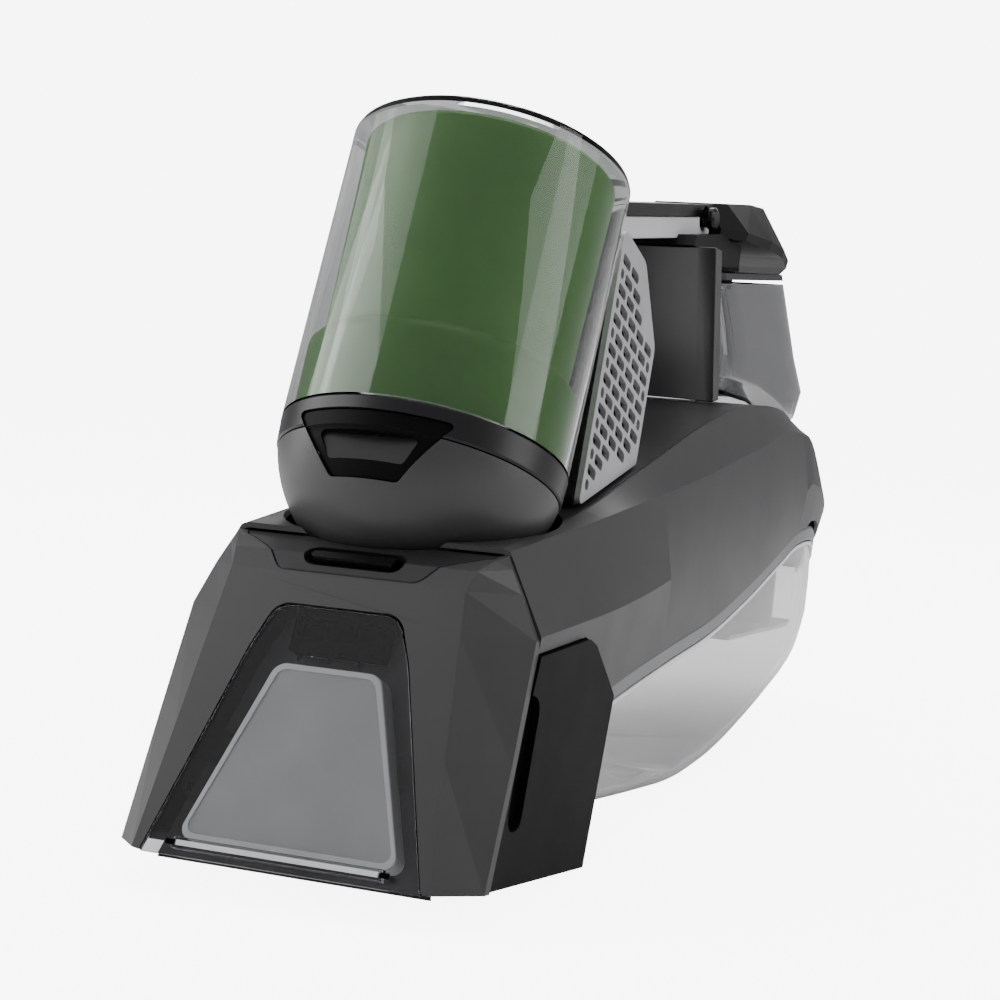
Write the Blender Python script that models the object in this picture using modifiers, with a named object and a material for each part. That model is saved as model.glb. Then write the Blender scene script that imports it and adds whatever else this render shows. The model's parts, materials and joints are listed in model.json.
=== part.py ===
"""Cordless handheld spot cleaner: brush head, leaning motor pod, handle and two water tanks.

Lengths are in millimetres in the machine's own frame and become metres in P() and MM.
Machine frame: X to the right, Y to the rear, Z up from the plane of the brush head's sole,
with the origin under the centre of the pod's ring. The ROOT empty tips the machine back
onto the foot of its dirty-water tank, which is how it stands when it is put down.
"""
import bpy
import bmesh
from math import acos, atan2, cos, pi, radians, sin, sqrt, tan
from mathutils import Matrix, Vector

MM = 0.001
GAP = 0.3            # clearance between neighbouring pieces
WALL = 2.0           # moulded wall

# How the machine stands
PARK_TILT = 6.5      # degrees that the sole is tipped up at the front
REST_EDGE_Y = 20.7   # rear edge of the head, which touches the floor
REST_SHIFT_Y = -134.03

# Pod
POD_RADIUS = 40.0
POD_LENGTH = 88.6
POD_LEAN = 18.0      # degrees
POD_RING_Z = 108.4
RING_HEIGHT = 8.0
SEAT_RADIUS = 42.2   # spherical seat in the deck round the dome

# Brush head
FACE_LEAN = 17.5     # degrees that the front face leans back
FACE_FOOT_Y = -64.5
SEAM_Y = -28.0       # hood meets body
BRUSH_Y, BRUSH_Z = -26.0, 19.0
MOTOR_Y, MOTOR_Z = 10.0, 31.0
PULLEY_RADIUS, PINION_RADIUS = 8.6, 5.2
BELT_X = -44.0
SCREW_X, SCREW_Y = 34.0, 8.0

# Body and dirty tank
BODY_FRONT_Y = -34.0
TAIL_START_Y = 246.0
TAIL_LENGTH = 76.0
TANK_FRONT_Y = 37.0
TANK_REAR_Y = 311.0
LID_BAND = 5.5
FOOT_Y, FOOT_LENGTH = 128.0, 26.0
LATCH_END_Y, LATCH_Z = 320.4, 98.6

# Rear column, clean tank and handle
REAR_LEAN = 16.5     # degrees that the column's face leans forward
HANDLE_HALF_WIDTH = 11.0

HALF_WIDTH = [(-36, 49.8), (33, 48.8), (120, 46.5), (200, 45.2), (246, 44)]
CREASE_LOW = [(-36, 82.4), (-1, 89), (40, 97), (113, 111), (184, 126), (228, 135), (250, 135),
              (270, 127), (290, 118), (305, 112), (322, 107)]
CREASE_HIGH = [(-36, 83), (26, 95.5), (75, 110), (154, 133.5), (190, 140.5), (225, 142.5), (250, 139),
               (270, 130), (290, 120), (305, 113.5), (322, 108)]
TANK_TOP = [(36, 41.5), (56, 46), (103, 55), (143, 62.5), (185, 74), (232, 89), (256, 96),
            (274, 97.5), (293, 93.5), (312, 86), (322, 82)]
TANK_BOTTOM = [(36, 15.5), (66, 13.8), (128, 14.6), (171, 20), (215, 31), (251, 42), (285, 55),
               (302, 65), (312, 74)]


def P(x, y, z):
    return Vector((x, y, z)) * MM


def along(line, y):
    """Height or width at y on a line of (y, value) points, straight between them."""
    if y <= line[0][0]:
        return line[0][1]
    for (y0, v0), (y1, v1) in zip(line, line[1:]):
        if y <= y1:
            return v0 + (v1 - v0) * (y - y0) / (y1 - y0)
    return line[-1][1]


# ---------------------------------------------------------------- scene

for old in list(bpy.data.objects):
    bpy.data.objects.remove(old, do_unlink=True)
PARTS = bpy.data.collections.new("spot_cleaner")
CUTTERS = bpy.data.collections.new("cutters")
for group in (PARTS, CUTTERS):
    bpy.context.scene.collection.children.link(group)


def empty(name, parent, matrix):
    obj = bpy.data.objects.new(name, None)
    PARTS.objects.link(obj)
    obj.parent = parent
    obj.matrix_basis = matrix
    return obj


def frame(origin, x_axis, y_axis):
    """Matrix with the given origin (mm) and local X and Y directions."""
    x_axis = Vector(x_axis).normalized()
    y_axis = Vector(y_axis).normalized()
    turn = Matrix((x_axis, y_axis, x_axis.cross(y_axis))).transposed()
    return Matrix.Translation(P(*origin)) @ turn.to_4x4()


ROOT = empty(
    "machine",
    None,
    Matrix.Translation(P(0, REST_SHIFT_Y, REST_EDGE_Y * sin(radians(PARK_TILT))))
    @ Matrix.Rotation(radians(-PARK_TILT), 4, "X"),
)
LEAN = radians(POD_LEAN)
POD = empty("pod_axis", ROOT, frame((0, 0, POD_RING_Z), (1, 0, 0), (0, cos(LEAN), -sin(LEAN))))
FACE = radians(FACE_LEAN)
FACE_PLANE = frame((0, FACE_FOOT_Y, 0), (1, 0, 0), (0, sin(FACE), cos(FACE)))
SIDE_PLANE = frame((0, 0, 0), (0, 1, 0), (0, 0, 1))
FLAT_PLANE = frame((0, 0, 0), (1, 0, 0), (0, 1, 0))
REAR = radians(REAR_LEAN)

LOOKS = {
    "shell_grey": ((0.055, 0.056, 0.058), 0.45, 0.0),
    "deck_grey": ((0.034, 0.035, 0.037), 0.42, 0.0),
    "panel_black": ((0.020, 0.020, 0.021), 0.60, 0.0),
    "gloss_black": ((0.008, 0.008, 0.009), 0.12, 0.0),
    "dome_grey": ((0.085, 0.086, 0.088), 0.38, 0.0),
    "green": ((0.060, 0.130, 0.038), 0.35, 0.0),
    "clear": ((0.80, 0.82, 0.83), 0.05, 0.0),
    "light_grey": ((0.42, 0.43, 0.44), 0.40, 0.0),
    "silver": ((0.36, 0.36, 0.37), 0.35, 0.4),
    "black_plastic": ((0.015, 0.015, 0.016), 0.50, 0.0),
    "steel": ((0.55, 0.55, 0.56), 0.28, 1.0),
    "rubber": ((0.018, 0.018, 0.018), 0.80, 0.0),
    "bristle": ((0.05, 0.05, 0.05), 0.70, 0.0),
    "board": ((0.02, 0.10, 0.04), 0.50, 0.0),
    "cell_blue": ((0.03, 0.08, 0.25), 0.35, 0.0),
}


def look(name):
    """One Principled material per finish."""
    found = bpy.data.materials.get(name)
    if found:
        return found
    colour, roughness, metallic = LOOKS[name]
    material = bpy.data.materials.new(name)
    material.use_nodes = True
    shader = material.node_tree.nodes["Principled BSDF"]
    shader.inputs["Base Color"].default_value = (*colour, 1)
    shader.inputs["Roughness"].default_value = roughness
    shader.inputs["Metallic"].default_value = metallic
    material.diffuse_color = (*colour, 1)
    return material


def place(name, mesh, finish, parent=ROOT, matrix=Matrix()):
    """Links a mesh as a part, or as a cutter when it has no finish."""
    obj = bpy.data.objects.new(name, mesh)
    obj.parent = parent
    obj.matrix_basis = matrix
    if finish:
        PARTS.objects.link(obj)
        mesh.materials.append(look(finish))
    else:
        CUTTERS.objects.link(obj)
        obj.hide_render = True
        obj.display_type = "WIRE"
    return obj


def smooth(obj, angle=35):
    obj.data.shade_smooth()
    obj.data.set_sharp_from_angle(angle=radians(angle))
    return obj


def to_mesh(name, bm):
    mesh = bpy.data.meshes.new(name)
    bm.to_mesh(mesh)
    bm.free()
    return mesh


# ---------------------------------------------------------------- shapes

def block(name, size, centre, finish, parent=ROOT, matrix=Matrix(), bevel=0):
    bm = bmesh.new()
    bmesh.ops.create_cube(bm, size=1)
    bmesh.ops.scale(bm, vec=Vector(size) * MM, verts=bm.verts)
    bmesh.ops.translate(bm, vec=P(*centre), verts=bm.verts)
    obj = place(name, to_mesh(name, bm), finish, parent, matrix)
    if bevel:
        edge = obj.modifiers.new("edges", "BEVEL")
        edge.width = bevel * MM
        edge.segments = 2
    return obj


TURNS = {"X": Matrix.Rotation(pi / 2, 4, "Y"), "Y": Matrix.Rotation(-pi / 2, 4, "X"), "Z": Matrix()}


def rod_mesh(bm, radius, length, centre, axis="Z", sides=16, tip=None):
    """Adds a closed cylinder, or a cone with another tip radius, to bm."""
    bmesh.ops.create_cone(
        bm,
        cap_ends=True,
        segments=sides,
        radius1=radius * MM,
        radius2=(radius if tip is None else tip) * MM,
        depth=length * MM,
        matrix=Matrix.Translation(P(*centre)) @ TURNS[axis],
    )


def rod(name, radius, length, centre, finish, axis="Z", parent=ROOT, sides=16, tip=None, matrix=Matrix()):
    bm = bmesh.new()
    rod_mesh(bm, radius, length, centre, axis, sides, tip)
    return smooth(place(name, to_mesh(name, bm), finish, parent, matrix))


def ball(name, radius, centre, finish, parent=ROOT):
    bm = bmesh.new()
    bmesh.ops.create_uvsphere(
        bm, u_segments=40, v_segments=20, radius=radius * MM, matrix=Matrix.Translation(P(*centre))
    )
    return smooth(place(name, to_mesh(name, bm), finish, parent))


def turned(name, profile, finish, parent=ROOT, matrix=Matrix(), steps=40, closed=True):
    """Turns a profile of (radius, height) points about local Z; its outer side runs top to bottom."""
    bm = bmesh.new()
    points = [bm.verts.new(P(r, 0, z)) for r, z in profile]
    pairs = list(zip(points, points[1:]))
    if closed:
        pairs.append((points[-1], points[0]))
    for a, b in pairs:
        bm.edges.new((a, b))
    obj = place(name, to_mesh(name, bm), finish, parent, matrix)
    screw = obj.modifiers.new("turn", "SCREW")
    screw.steps = steps
    screw.render_steps = steps
    screw.use_merge_vertices = True
    screw.merge_threshold = 0.00001
    screw.use_smooth_shade = True
    return obj


def ring(name, outer, inner, top, bottom, finish, parent=ROOT, matrix=Matrix(), steps=32):
    profile = [(outer, top), (outer, bottom), (inner, bottom), (inner, top)]
    return turned(name, profile, finish, parent, matrix, steps)


def rounded(corners, steps=4):
    """Outline whose corners (x, y, radius) are turned into arcs."""
    points = []
    for i, (x, y, radius) in enumerate(corners):
        here = Vector((x, y))
        if not radius:
            points.append(here)
            continue
        back = (Vector(corners[i - 1][:2]) - here).normalized()
        ahead = (Vector(corners[(i + 1) % len(corners)][:2]) - here).normalized()
        half = back.angle(ahead) / 2
        centre = here + (back + ahead).normalized() * radius / sin(half)
        first = here + back * radius / tan(half) - centre
        last = here + ahead * radius / tan(half) - centre
        start = atan2(first.y, first.x)
        sweep = (atan2(last.y, last.x) - start + pi) % (2 * pi) - pi
        for k in range(steps + 1):
            turn = start + sweep * k / steps
            points.append(centre + Vector((cos(turn), sin(turn))) * radius)
    return points


def mirrored(half):
    """Closed outline from its right half, listed from bottom to top."""
    return half + [(-x, y, r) for x, y, r in reversed(half)]


def plate(name, outlines, low, high, finish, plane=FLAT_PLANE, parent=ROOT):
    """Flat outline, with holes after the first, from depth low to high along the plane's normal."""
    curve = bpy.data.curves.new(name, "CURVE")
    curve.dimensions = "2D"
    curve.fill_mode = "BOTH"
    curve.extrude = (high - low) / 2 * MM
    for outline in outlines:
        spline = curve.splines.new("POLY")
        spline.points.add(len(outline) - 1)
        spline.use_cyclic_u = True
        for point, (x, y) in zip(spline.points, outline):
            point.co = (x * MM, y * MM, 0, 1)
    guide = bpy.data.objects.new(name + "_curve", curve)
    CUTTERS.objects.link(guide)
    graph = bpy.context.evaluated_depsgraph_get()
    mesh = bpy.data.meshes.new_from_object(guide.evaluated_get(graph))
    bpy.data.objects.remove(guide)
    bm = bmesh.new()
    bm.from_mesh(mesh)
    bmesh.ops.remove_doubles(bm, verts=bm.verts, dist=0.000001)
    bmesh.ops.translate(bm, vec=P(0, 0, (low + high) / 2), verts=bm.verts)
    bmesh.ops.recalc_face_normals(bm, faces=bm.faces)
    bm.to_mesh(mesh)
    bm.free()
    mesh.materials.clear()
    return place(name, mesh, finish, parent, plane)


def grid(name, rows, finish, close_start=False, close_end=False, closed=False, parent=ROOT, matrix=Matrix()):
    """Surface through rows of (x, y, z) points; closed rows join their last point to the first.

    A closed end on open rows joins the row's two halves across the middle.
    """
    bm = bmesh.new()
    net = [[bm.verts.new(P(*point)) for point in row] for row in rows]
    count = len(net[0])
    for row, following in zip(net, net[1:]):
        for i in range(count if closed else count - 1):
            j = (i + 1) % count
            bm.faces.new((row[i], row[j], following[j], following[i]))
    for wanted, row in ((close_start, net[0]), (close_end, net[-1])):
        if wanted and closed:
            bm.faces.new(row)
        elif wanted:
            for i in range(count // 2 - 1):
                bm.faces.new((row[i], row[i + 1], row[count - 2 - i], row[count - 1 - i]))
    bmesh.ops.recalc_face_normals(bm, faces=bm.faces)
    return place(name, to_mesh(name, bm), finish, parent, matrix)


def thicken(obj, thickness, outward=False):
    wall = obj.modifiers.new("wall", "SOLIDIFY")
    wall.thickness = thickness * MM
    wall.offset = 1 if outward else -1
    wall.use_even_offset = True
    return obj


def combine(obj, other, operation):
    step = obj.modifiers.new(operation.lower(), "BOOLEAN")
    step.operation = operation
    step.solver = "EXACT"
    step.object = other
    return obj


def cut(obj, *cutters):
    for cutter in cutters:
        combine(obj, cutter, "DIFFERENCE")
    return obj


def keep(obj, cutter):
    return combine(obj, cutter, "INTERSECT")


def tube(name, points, radius, finish, parent=ROOT, resolution=2):
    """Round bar or hose along a POLY spline, with filled caps."""
    curve = bpy.data.curves.new(name, "CURVE")
    curve.dimensions = "3D"
    curve.bevel_depth = radius * MM
    curve.bevel_resolution = resolution
    curve.use_fill_caps = True
    spline = curve.splines.new("POLY")
    spline.points.add(len(points) - 1)
    for point, (x, y, z) in zip(spline.points, points):
        point.co = (x * MM, y * MM, z * MM, 1)
    obj = bpy.data.objects.new(name, curve)
    PARTS.objects.link(obj)
    obj.parent = parent
    curve.materials.append(look(finish))
    return obj


def bend(points, per_span=3):
    """Smooth route through a few points (Catmull-Rom)."""
    route = []
    ends = [points[0]] + points + [points[-1]]
    for a, b, c, d in zip(ends, ends[1:], ends[2:], ends[3:]):
        a, b, c, d = Vector(a), Vector(b), Vector(c), Vector(d)
        for k in range(per_span):
            t = k / per_span
            route.append(
                (2 * b + (c - a) * t + (2 * a - 5 * b + 4 * c - d) * t * t
                 + (3 * b - a - 3 * c + d) * t ** 3) / 2
            )
    return route + [Vector(points[-1])]


def face_y(z):
    """Y of the head's front face at height z."""
    return FACE_FOOT_Y + z * tan(FACE)


# ---------------------------------------------------------------- shared zones

def seam_zone(name, near, far):
    """Cutter prism in side view, in front of (far < near) or behind the hood's rear seam."""
    outline = [(near, 95), (near, 58.7), (near - 23.3, -6), (far, -6), (far, 95)]
    return plate(name, [outline], -70, 70, None, SIDE_PLANE)


def latch_outline(shrink):
    half = [
        (20 - shrink, -41.2 + shrink, 6),
        (27.5 - shrink, -35.5 + shrink, 7),
        (36.2 - shrink, -30 + shrink, 3),
        (36.2 - shrink, -12, 0),
    ]
    return rounded(mirrored(half), 3)


def tail_width(y):
    """Half width of the body, rounded off at the tail by a superellipse."""
    if y <= TAIL_START_Y:
        return along(HALF_WIDTH, y)
    reach = min((y - TAIL_START_Y) / TAIL_LENGTH, 1)
    return 44 * (1 - reach ** 2.6) ** (1 / 2.6)


def deck_outline(shrink):
    half = [
        (35.4 - shrink, 5, 0),
        (35.4 - shrink, 236 - shrink, 12),
        (22 - shrink, 262 - shrink, 12),
    ]
    return rounded(mirrored(half), 3)


# ---------------------------------------------------------------- brush head

HOOD_ROWS = [
    ((41.2, 0), (51, -53, 0), (50.6, -38, 0)),
    ((37.8, 31), (50.4, -41.5, 31), (50.2, -28, 31)),
    ((34.4, 62), (49.4, -30.5, 62), (49.2, -20, 62)),
    ((33.2, 73), (43.9, -30, 73.4), (43.7, -19, 73.6)),
]
HOOD_TOP = [
    ((34.4, -38, 78.2), (40.6, -29.4, 79.4), (40.4, -19, 80.4)),
    ((36.4, -31.8, 81.2), (38.9, -28.6, 82.7), (38.9, -20, 83.8)),
    ((32, -19, 85.6), (36, -19, 85.5), (37.4, -13, 86.8)),
]


def hood_skin(name, finish):
    rows = []
    for (facet_x, facet_z), shoulder, rear in HOOD_ROWS:
        rows.append([rear, shoulder, (facet_x, face_y(facet_z), facet_z)])
    for facet, shoulder, rear in HOOD_TOP:
        rows.append([rear, shoulder, facet])
    full = [half + [(-x, y, z) for x, y, z in reversed(half)] for half in rows]
    return thicken(grid(name, full, finish), WALL)


def window_outline(shrink):
    """Trapezoid in the plane of the front face, with rounded top corners."""
    half = [(39.3 - shrink, -1 + shrink, 0), (22.6 - shrink * 0.9, 56, 12), (17.6 - shrink, 68.4 - shrink, 6)]
    return rounded(mirrored(half), 5)


def make_head():
    in_front = seam_zone("hood_zone", SEAM_Y - GAP / 2, -90)
    hood = keep(hood_skin("nozzle_shell", "shell_grey"), in_front)
    cut(
        hood,
        plate("window_hole", [window_outline(0)], -12, 12, None, FACE_PLANE),
        plate("latch_hole", [latch_outline(0)], 66, 100, None),
        ball("seat_space", SEAT_RADIUS + 1.2, (0, 0, POD_RING_Z), None),
    )
    panel = keep(hood_skin("latch_panel", "deck_grey"), in_front)
    keep(panel, plate("latch_zone", [latch_outline(GAP)], 66, 100, None))
    cut(
        panel,
        ball("seat_space_front", SEAT_RADIUS, (0, 0, POD_RING_Z), None),
        latch_slot("latch_slot", 0, None),
    )
    make_latch()
    make_window()
    make_duct()
    make_side_panels()
    make_sole()
    make_brush()


LATCH_PLANE = frame((0, -37.4, 78.3), (1, 0, 0), (0, cos(radians(36)), sin(radians(36))))


def latch_slot(name, shrink, finish, low=-12, high=12):
    half = [(14.4 - shrink, -3.7 + shrink, 3.6 - shrink), (14.4 - shrink, 3.7 - shrink, 3.6 - shrink)]
    return plate(name, [rounded(mirrored(half), 4)], low, high, finish, LATCH_PLANE)


def make_latch():
    tray = latch_slot("latch_tray", GAP, "black_plastic", -6.4, -1.2)
    pocket = [(13.2, -2.6, 2), (13.2, 2.6, 2)]
    cut(tray, plate("tray_pocket", [rounded(mirrored(pocket), 3)], -4.4, 5, None, LATCH_PLANE))
    bar = [(11.8, -2.3, 1.1), (11.8, 0.3, 1.1)]
    plate("latch_bar", [rounded(mirrored(bar), 3)], -4.1, 0.9, "gloss_black", LATCH_PLANE)


def make_window():
    """Clear front cover, flush with the face, with a lip along the floor edge."""
    cover = plate("nozzle_window", [window_outline(0.6)], -1.9, 0, "clear", FACE_PLANE)
    lip = block("window_lip", (58, 3.2, 2.6), (0, 2.6, 1.0), None, ROOT, FACE_PLANE)
    combine(cover, lip, "UNION")
    raised = [(28, 6, 3), (14.5, 50, 4)]
    cut(cover, plate("window_step", [rounded(mirrored(raised), 4)], -4, -1.2, None, FACE_PLANE))


def make_duct():
    """Grey back plate of the suction path, with its raised plateau and mouth, and the duct behind."""
    tray = [(36.5, 3.2, 2), (19.5, 57, 10), (16.4, 66, 5)]
    back = plate("duct_plate", [rounded(mirrored(tray), 4)], -7.2, -5.4, "light_grey", FACE_PLANE)
    raised = [(28.7, 5.5, 3), (14.2, 50.5, 4.5)]
    plateau = plate("plateau", [rounded(mirrored(raised), 4)], -6.6, -2.6, None, FACE_PLANE)
    combine(back, plateau, "UNION")
    mouth = [(-12, 55.5), (12, 55.5), (12, 63.6), (-12, 63.6)]
    cut(back, plate("mouth_hole", [mouth], -12, 2, None, FACE_PLANE))
    teeth = plate("suction_mouth", [[(-11.7, 55.8), (11.7, 55.8), (11.7, 63.3), (-11.7, 63.3)],
                                    [(-10.5, 57), (-4.1, 57), (-4.1, 62.1), (-10.5, 62.1)],
                                    [(-3.2, 57), (3.2, 57), (3.2, 62.1), (-3.2, 62.1)],
                                    [(4.1, 57), (10.5, 57), (10.5, 62.1), (4.1, 62.1)]],
                  -8.4, -4.2, "black_plastic", FACE_PLANE)
    for k in (-1, 0, 1):
        outline = [(k * 7.2 - 1.1, 57.4), (k * 7.2 + 1.1, 57.4), (k * 7.2 - 0.6, 53.2)]
        tooth = plate("tooth_%d" % (k + 1), [outline],
                      -5.2, -3.4, None, FACE_PLANE)
        combine(teeth, tooth, "UNION")
    path = [(-37.6, 62.2, 20, 14.5, 8.6), (-24, 57, 0, 15, 9), (-8, 52.6, -8, 15, 9), (30, 53.2, 4, 14, 9),
            (48, 57.2, 12, 13, 10)]
    rows = []
    for y, z, dip, half_width, height in path:
        up = Vector((0, -sin(radians(dip)), cos(radians(dip)))) * height / 2
        rows.append([(x, y + side * up.y, z + side * up.z) for x, side in
                     ((half_width, -1), (half_width, 1), (-half_width, 1), (-half_width, -1))])
    thicken(grid("suction_duct", rows, "black_plastic", closed=True), 1.2)


def make_side_panels():
    outline = [(-27.7, 58.2, 1), (8.5, 62.6, 3), (14, 61, 3), (32.6, 47, 1), (20.7, 0.25, 0.6),
               (-48.7, 0.25, 0.6)]
    finger = [(-41, 13, 4), (-31, 15, 4), (-24.5, 47, 4), (-34.5, 49.5, 4)]
    for side, name in ((1, "right"), (-1, "left")):
        near, far = (45.6, 50.2) if side > 0 else (-50.2, -45.6)
        panel = plate("side_panel_" + name, [rounded(outline, 3)], near, far, "panel_black", SIDE_PLANE)
        depth = (48.0, 55) if side > 0 else (-55, -48.0)
        cut(panel, plate("finger_" + name, [rounded(finger, 3)], *depth, None, SIDE_PLANE))


def make_sole():
    """Sole plate with the brush opening, a leaning rear wall and two screws."""
    section = [(-50, 0.4), (REST_EDGE_Y - 0.4, 0.4), (31.8, 46.5), (29.6, 46.5), (18.2, 2.6), (-50, 2.6)]
    sole = plate("sole_plate", [section], -45.2, 45.2, "black_plastic", SIDE_PLANE)
    cut(sole, block("brush_opening", (81, 42, 10), (0, BRUSH_Y, 1), None))
    for x, side in ((SCREW_X, "right"), (-SCREW_X, "left")):
        cut(sole, rod("screw_hole_" + side, 1.8, 10, (x, SCREW_Y, 2), None, sides=12))
        screw = [(0, 4.4), (3, 4.4), (3, 3), (1.4, 3), (1.4, 0.1), (0, 0.1)]
        upright = frame((x, SCREW_Y, 0), (1, 0, 0), (0, 1, 0))
        turned("sole_screw_" + side, screw, "steel", ROOT, upright, 12, False)


def make_brush():
    hub = [(0, 42.3), (3.9, 42.3), (3.9, 38), (12.5, 38), (12.5, -38), (3.9, -38), (3.9, BELT_X + 1.2),
           (PULLEY_RADIUS, BELT_X + 1.2), (PULLEY_RADIUS, BELT_X - 1.2), (0, BELT_X - 1.2)]
    axle = frame((0, BRUSH_Y, BRUSH_Z), (0, 1, 0), (0, 0, 1))
    turned("brush_roll", hub, "black_plastic", ROOT, axle, 24, False)
    bm = bmesh.new()
    for strip in range(6):
        for k in range(10):
            x = -35 + 70 * k / 9
            turn = radians(60 * strip + abs(k - 4.5) * 8)
            tuft = Matrix.Translation(P(x, BRUSH_Y, BRUSH_Z)) @ Matrix.Rotation(turn, 4, "X")
            bmesh.ops.create_cone(bm, cap_ends=True, segments=4, radius1=1.6 * MM, radius2=2.1 * MM,
                                  depth=6.4 * MM, matrix=tuft @ Matrix.Translation(P(0, 0, 16.3)))
    sleeve = ring("brush_bristles", 13.8, 12.8, 37.6, -37.6, "bristle", ROOT, axle, 24)
    combine(sleeve, place("bristle_tufts", to_mesh("bristle_tufts", bm), None), "UNION")
    arc = []
    for radius, order in ((21.2, range(13)), (22.8, range(12, -1, -1))):
        for k in order:
            turn = radians(-8 + 196 * k / 12)
            arc.append((BRUSH_Y + radius * cos(turn), BRUSH_Z + radius * sin(turn)))
    plate("brush_chamber", [arc], -39.2, 39.2, "black_plastic", SIDE_PLANE)
    for side, name in ((1, "right"), (-1, "left")):
        ring("brush_bearing_" + name, 8, 4.2, side * 41.1 + 1.3, side * 41.1 - 1.3, "steel", ROOT, axle, 20)
    drive = frame((BELT_X, MOTOR_Y, MOTOR_Z), (0, 1, 0), (0, 0, 1))
    pinion = [(0, 5.7), (2, 5.7), (2, 1.2), (PINION_RADIUS, 1.2), (PINION_RADIUS, -1.2), (0, -1.2)]
    turned("motor_pulley", pinion, "black_plastic", ROOT, drive, 16, False)
    belt = [belt_outline(1.5), belt_outline(0.5)]
    plate("drive_belt", belt, BELT_X - 1, BELT_X + 1, "rubber", SIDE_PLANE)
    rod("brush_motor", 12.6, 34, (-21, MOTOR_Y, MOTOR_Z), "steel", "X", sides=20)


def belt_outline(growth):
    """Outline round both pulleys at the given growth, in side view."""
    span = Vector((MOTOR_Y - BRUSH_Y, MOTOR_Z - BRUSH_Z))
    aim = atan2(span.y, span.x)
    spread = acos((PULLEY_RADIUS - PINION_RADIUS) / span.length)
    points = []
    for k in range(9):
        turn = aim + spread + (2 * pi - 2 * spread) * k / 8
        reach = PULLEY_RADIUS + growth
        points.append((BRUSH_Y + reach * cos(turn), BRUSH_Z + reach * sin(turn)))
    for k in range(9):
        turn = aim - spread + 2 * spread * k / 8
        reach = PINION_RADIUS + growth
        points.append((MOTOR_Y + reach * cos(turn), MOTOR_Z + reach * sin(turn)))
    return points


# ---------------------------------------------------------------- body and dirty tank

CREASE_LOW_X = [(-36, 38.4), (-1, 40.2), (40, 42.2), (113, 43.4), (184, 42.6), (246, 41)]
CREASE_HIGH_X = [(-36, 37), (26, 36.4), (240, 35.4), (246, 35.2)]
BELT_LINE = [(-36, 62), (40, 72), (113, 86), (200, 104), (246, 115)]
TAIL_STATIONS = [246, 258, 270, 282, 292, 301, 309, 315, 319.5, 321.4]


def body_low(y):
    """Lower edge of the body shells: just over the band of the tank's lid."""
    if y < 33:
        return 42
    return along(TANK_TOP, y) + LID_BAND + 0.5 + (1.6 if y > 262 else 0)


def body_section(y):
    width = tail_width(y)
    tail = width / 44 if y > TAIL_START_Y else 1
    low, high = body_low(y), along(CREASE_LOW, y)
    middle = along(BELT_LINE, y) if y <= TAIL_START_Y else low + (high - low) * 0.5
    half = [
        (width * 0.955, y, low),
        (width, y, middle),
        (along(CREASE_LOW_X, y) * tail, y, high),
        (along(CREASE_HIGH_X, y) * tail, y, along(CREASE_HIGH, y)),
    ]
    return half + [(-x, y, z) for x, y, z in reversed(half)]


def body_skin(name, finish):
    stations = [BODY_FRONT_Y, -1, 26, 40, 56, 75, 103, 130, 154, 172, 190, 208, 226] + TAIL_STATIONS
    return thicken(grid(name, [body_section(y) for y in stations], finish, close_end=True), WALL)


def make_body():
    seat = ball("deck_seat", SEAT_RADIUS, (0, 0, POD_RING_Z), None)
    behind_seam = block("behind_seam", (140, 400, 400), (0, SEAM_Y + GAP / 2 + 200, 60), None)
    panel_space = plate("panel_space", [[(-60, -10), (-60, 58.7), (-29, 58.7), (8.5, 63.1), (14.2, 61.5),
                                         (33.1, 47.2), (20, -10)]], -70, 70, None, SIDE_PLANE)
    deck_space = plate("deck_space", [deck_outline(0)], 60, 170, None)
    latch = block("latch_notch", (16 + 2 * GAP, 14, 6.4 + 2 * GAP), (0, LATCH_END_Y, LATCH_Z), None)
    for side, name in ((1, "right"), (-1, "left")):
        shell = body_skin("body_shell_" + name, "shell_grey")
        keep(shell, block("half_" + name, (80, 500, 400), (side * 40.15, 150, 60), None))
        keep(shell, behind_seam)
        cut(shell, panel_space, deck_space, seat, latch)
    deck = body_skin("body_deck", "deck_grey")
    keep(deck, plate("deck_zone", [deck_outline(GAP)], 60, 170, None))
    exhaust = block("exhaust_slot", (40, 20, 40), (0, 60, 105), None)
    outlet = rod("valve_hole", 6, 40, (0, 205, 140), None, sides=16)
    cut(deck, seat, exhaust, outlet)


def tank_section(y, low, high, inset):
    width = tail_width(y) * 0.905 - inset
    rise = high - low
    half = [
        (width, y, high),
        (width + 0.5, y, high - 0.4 * rise),
        (width - 0.8, y, low + 0.22 * rise + 1.5),
        (max(width - 3.2, width * 0.8), y, low + 0.06 * rise + 0.6),
        (max(width - 8, width * 0.6), y, low),
    ]
    return half + [(-x, y, z) for x, y, z in reversed(half)]


TANK_STATIONS = [TANK_FRONT_Y, 66, 103, 128, 150, 171, 193, 215, 233, 251, 268, 285, 295, 303, 308.5,
                 TANK_REAR_Y]


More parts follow.
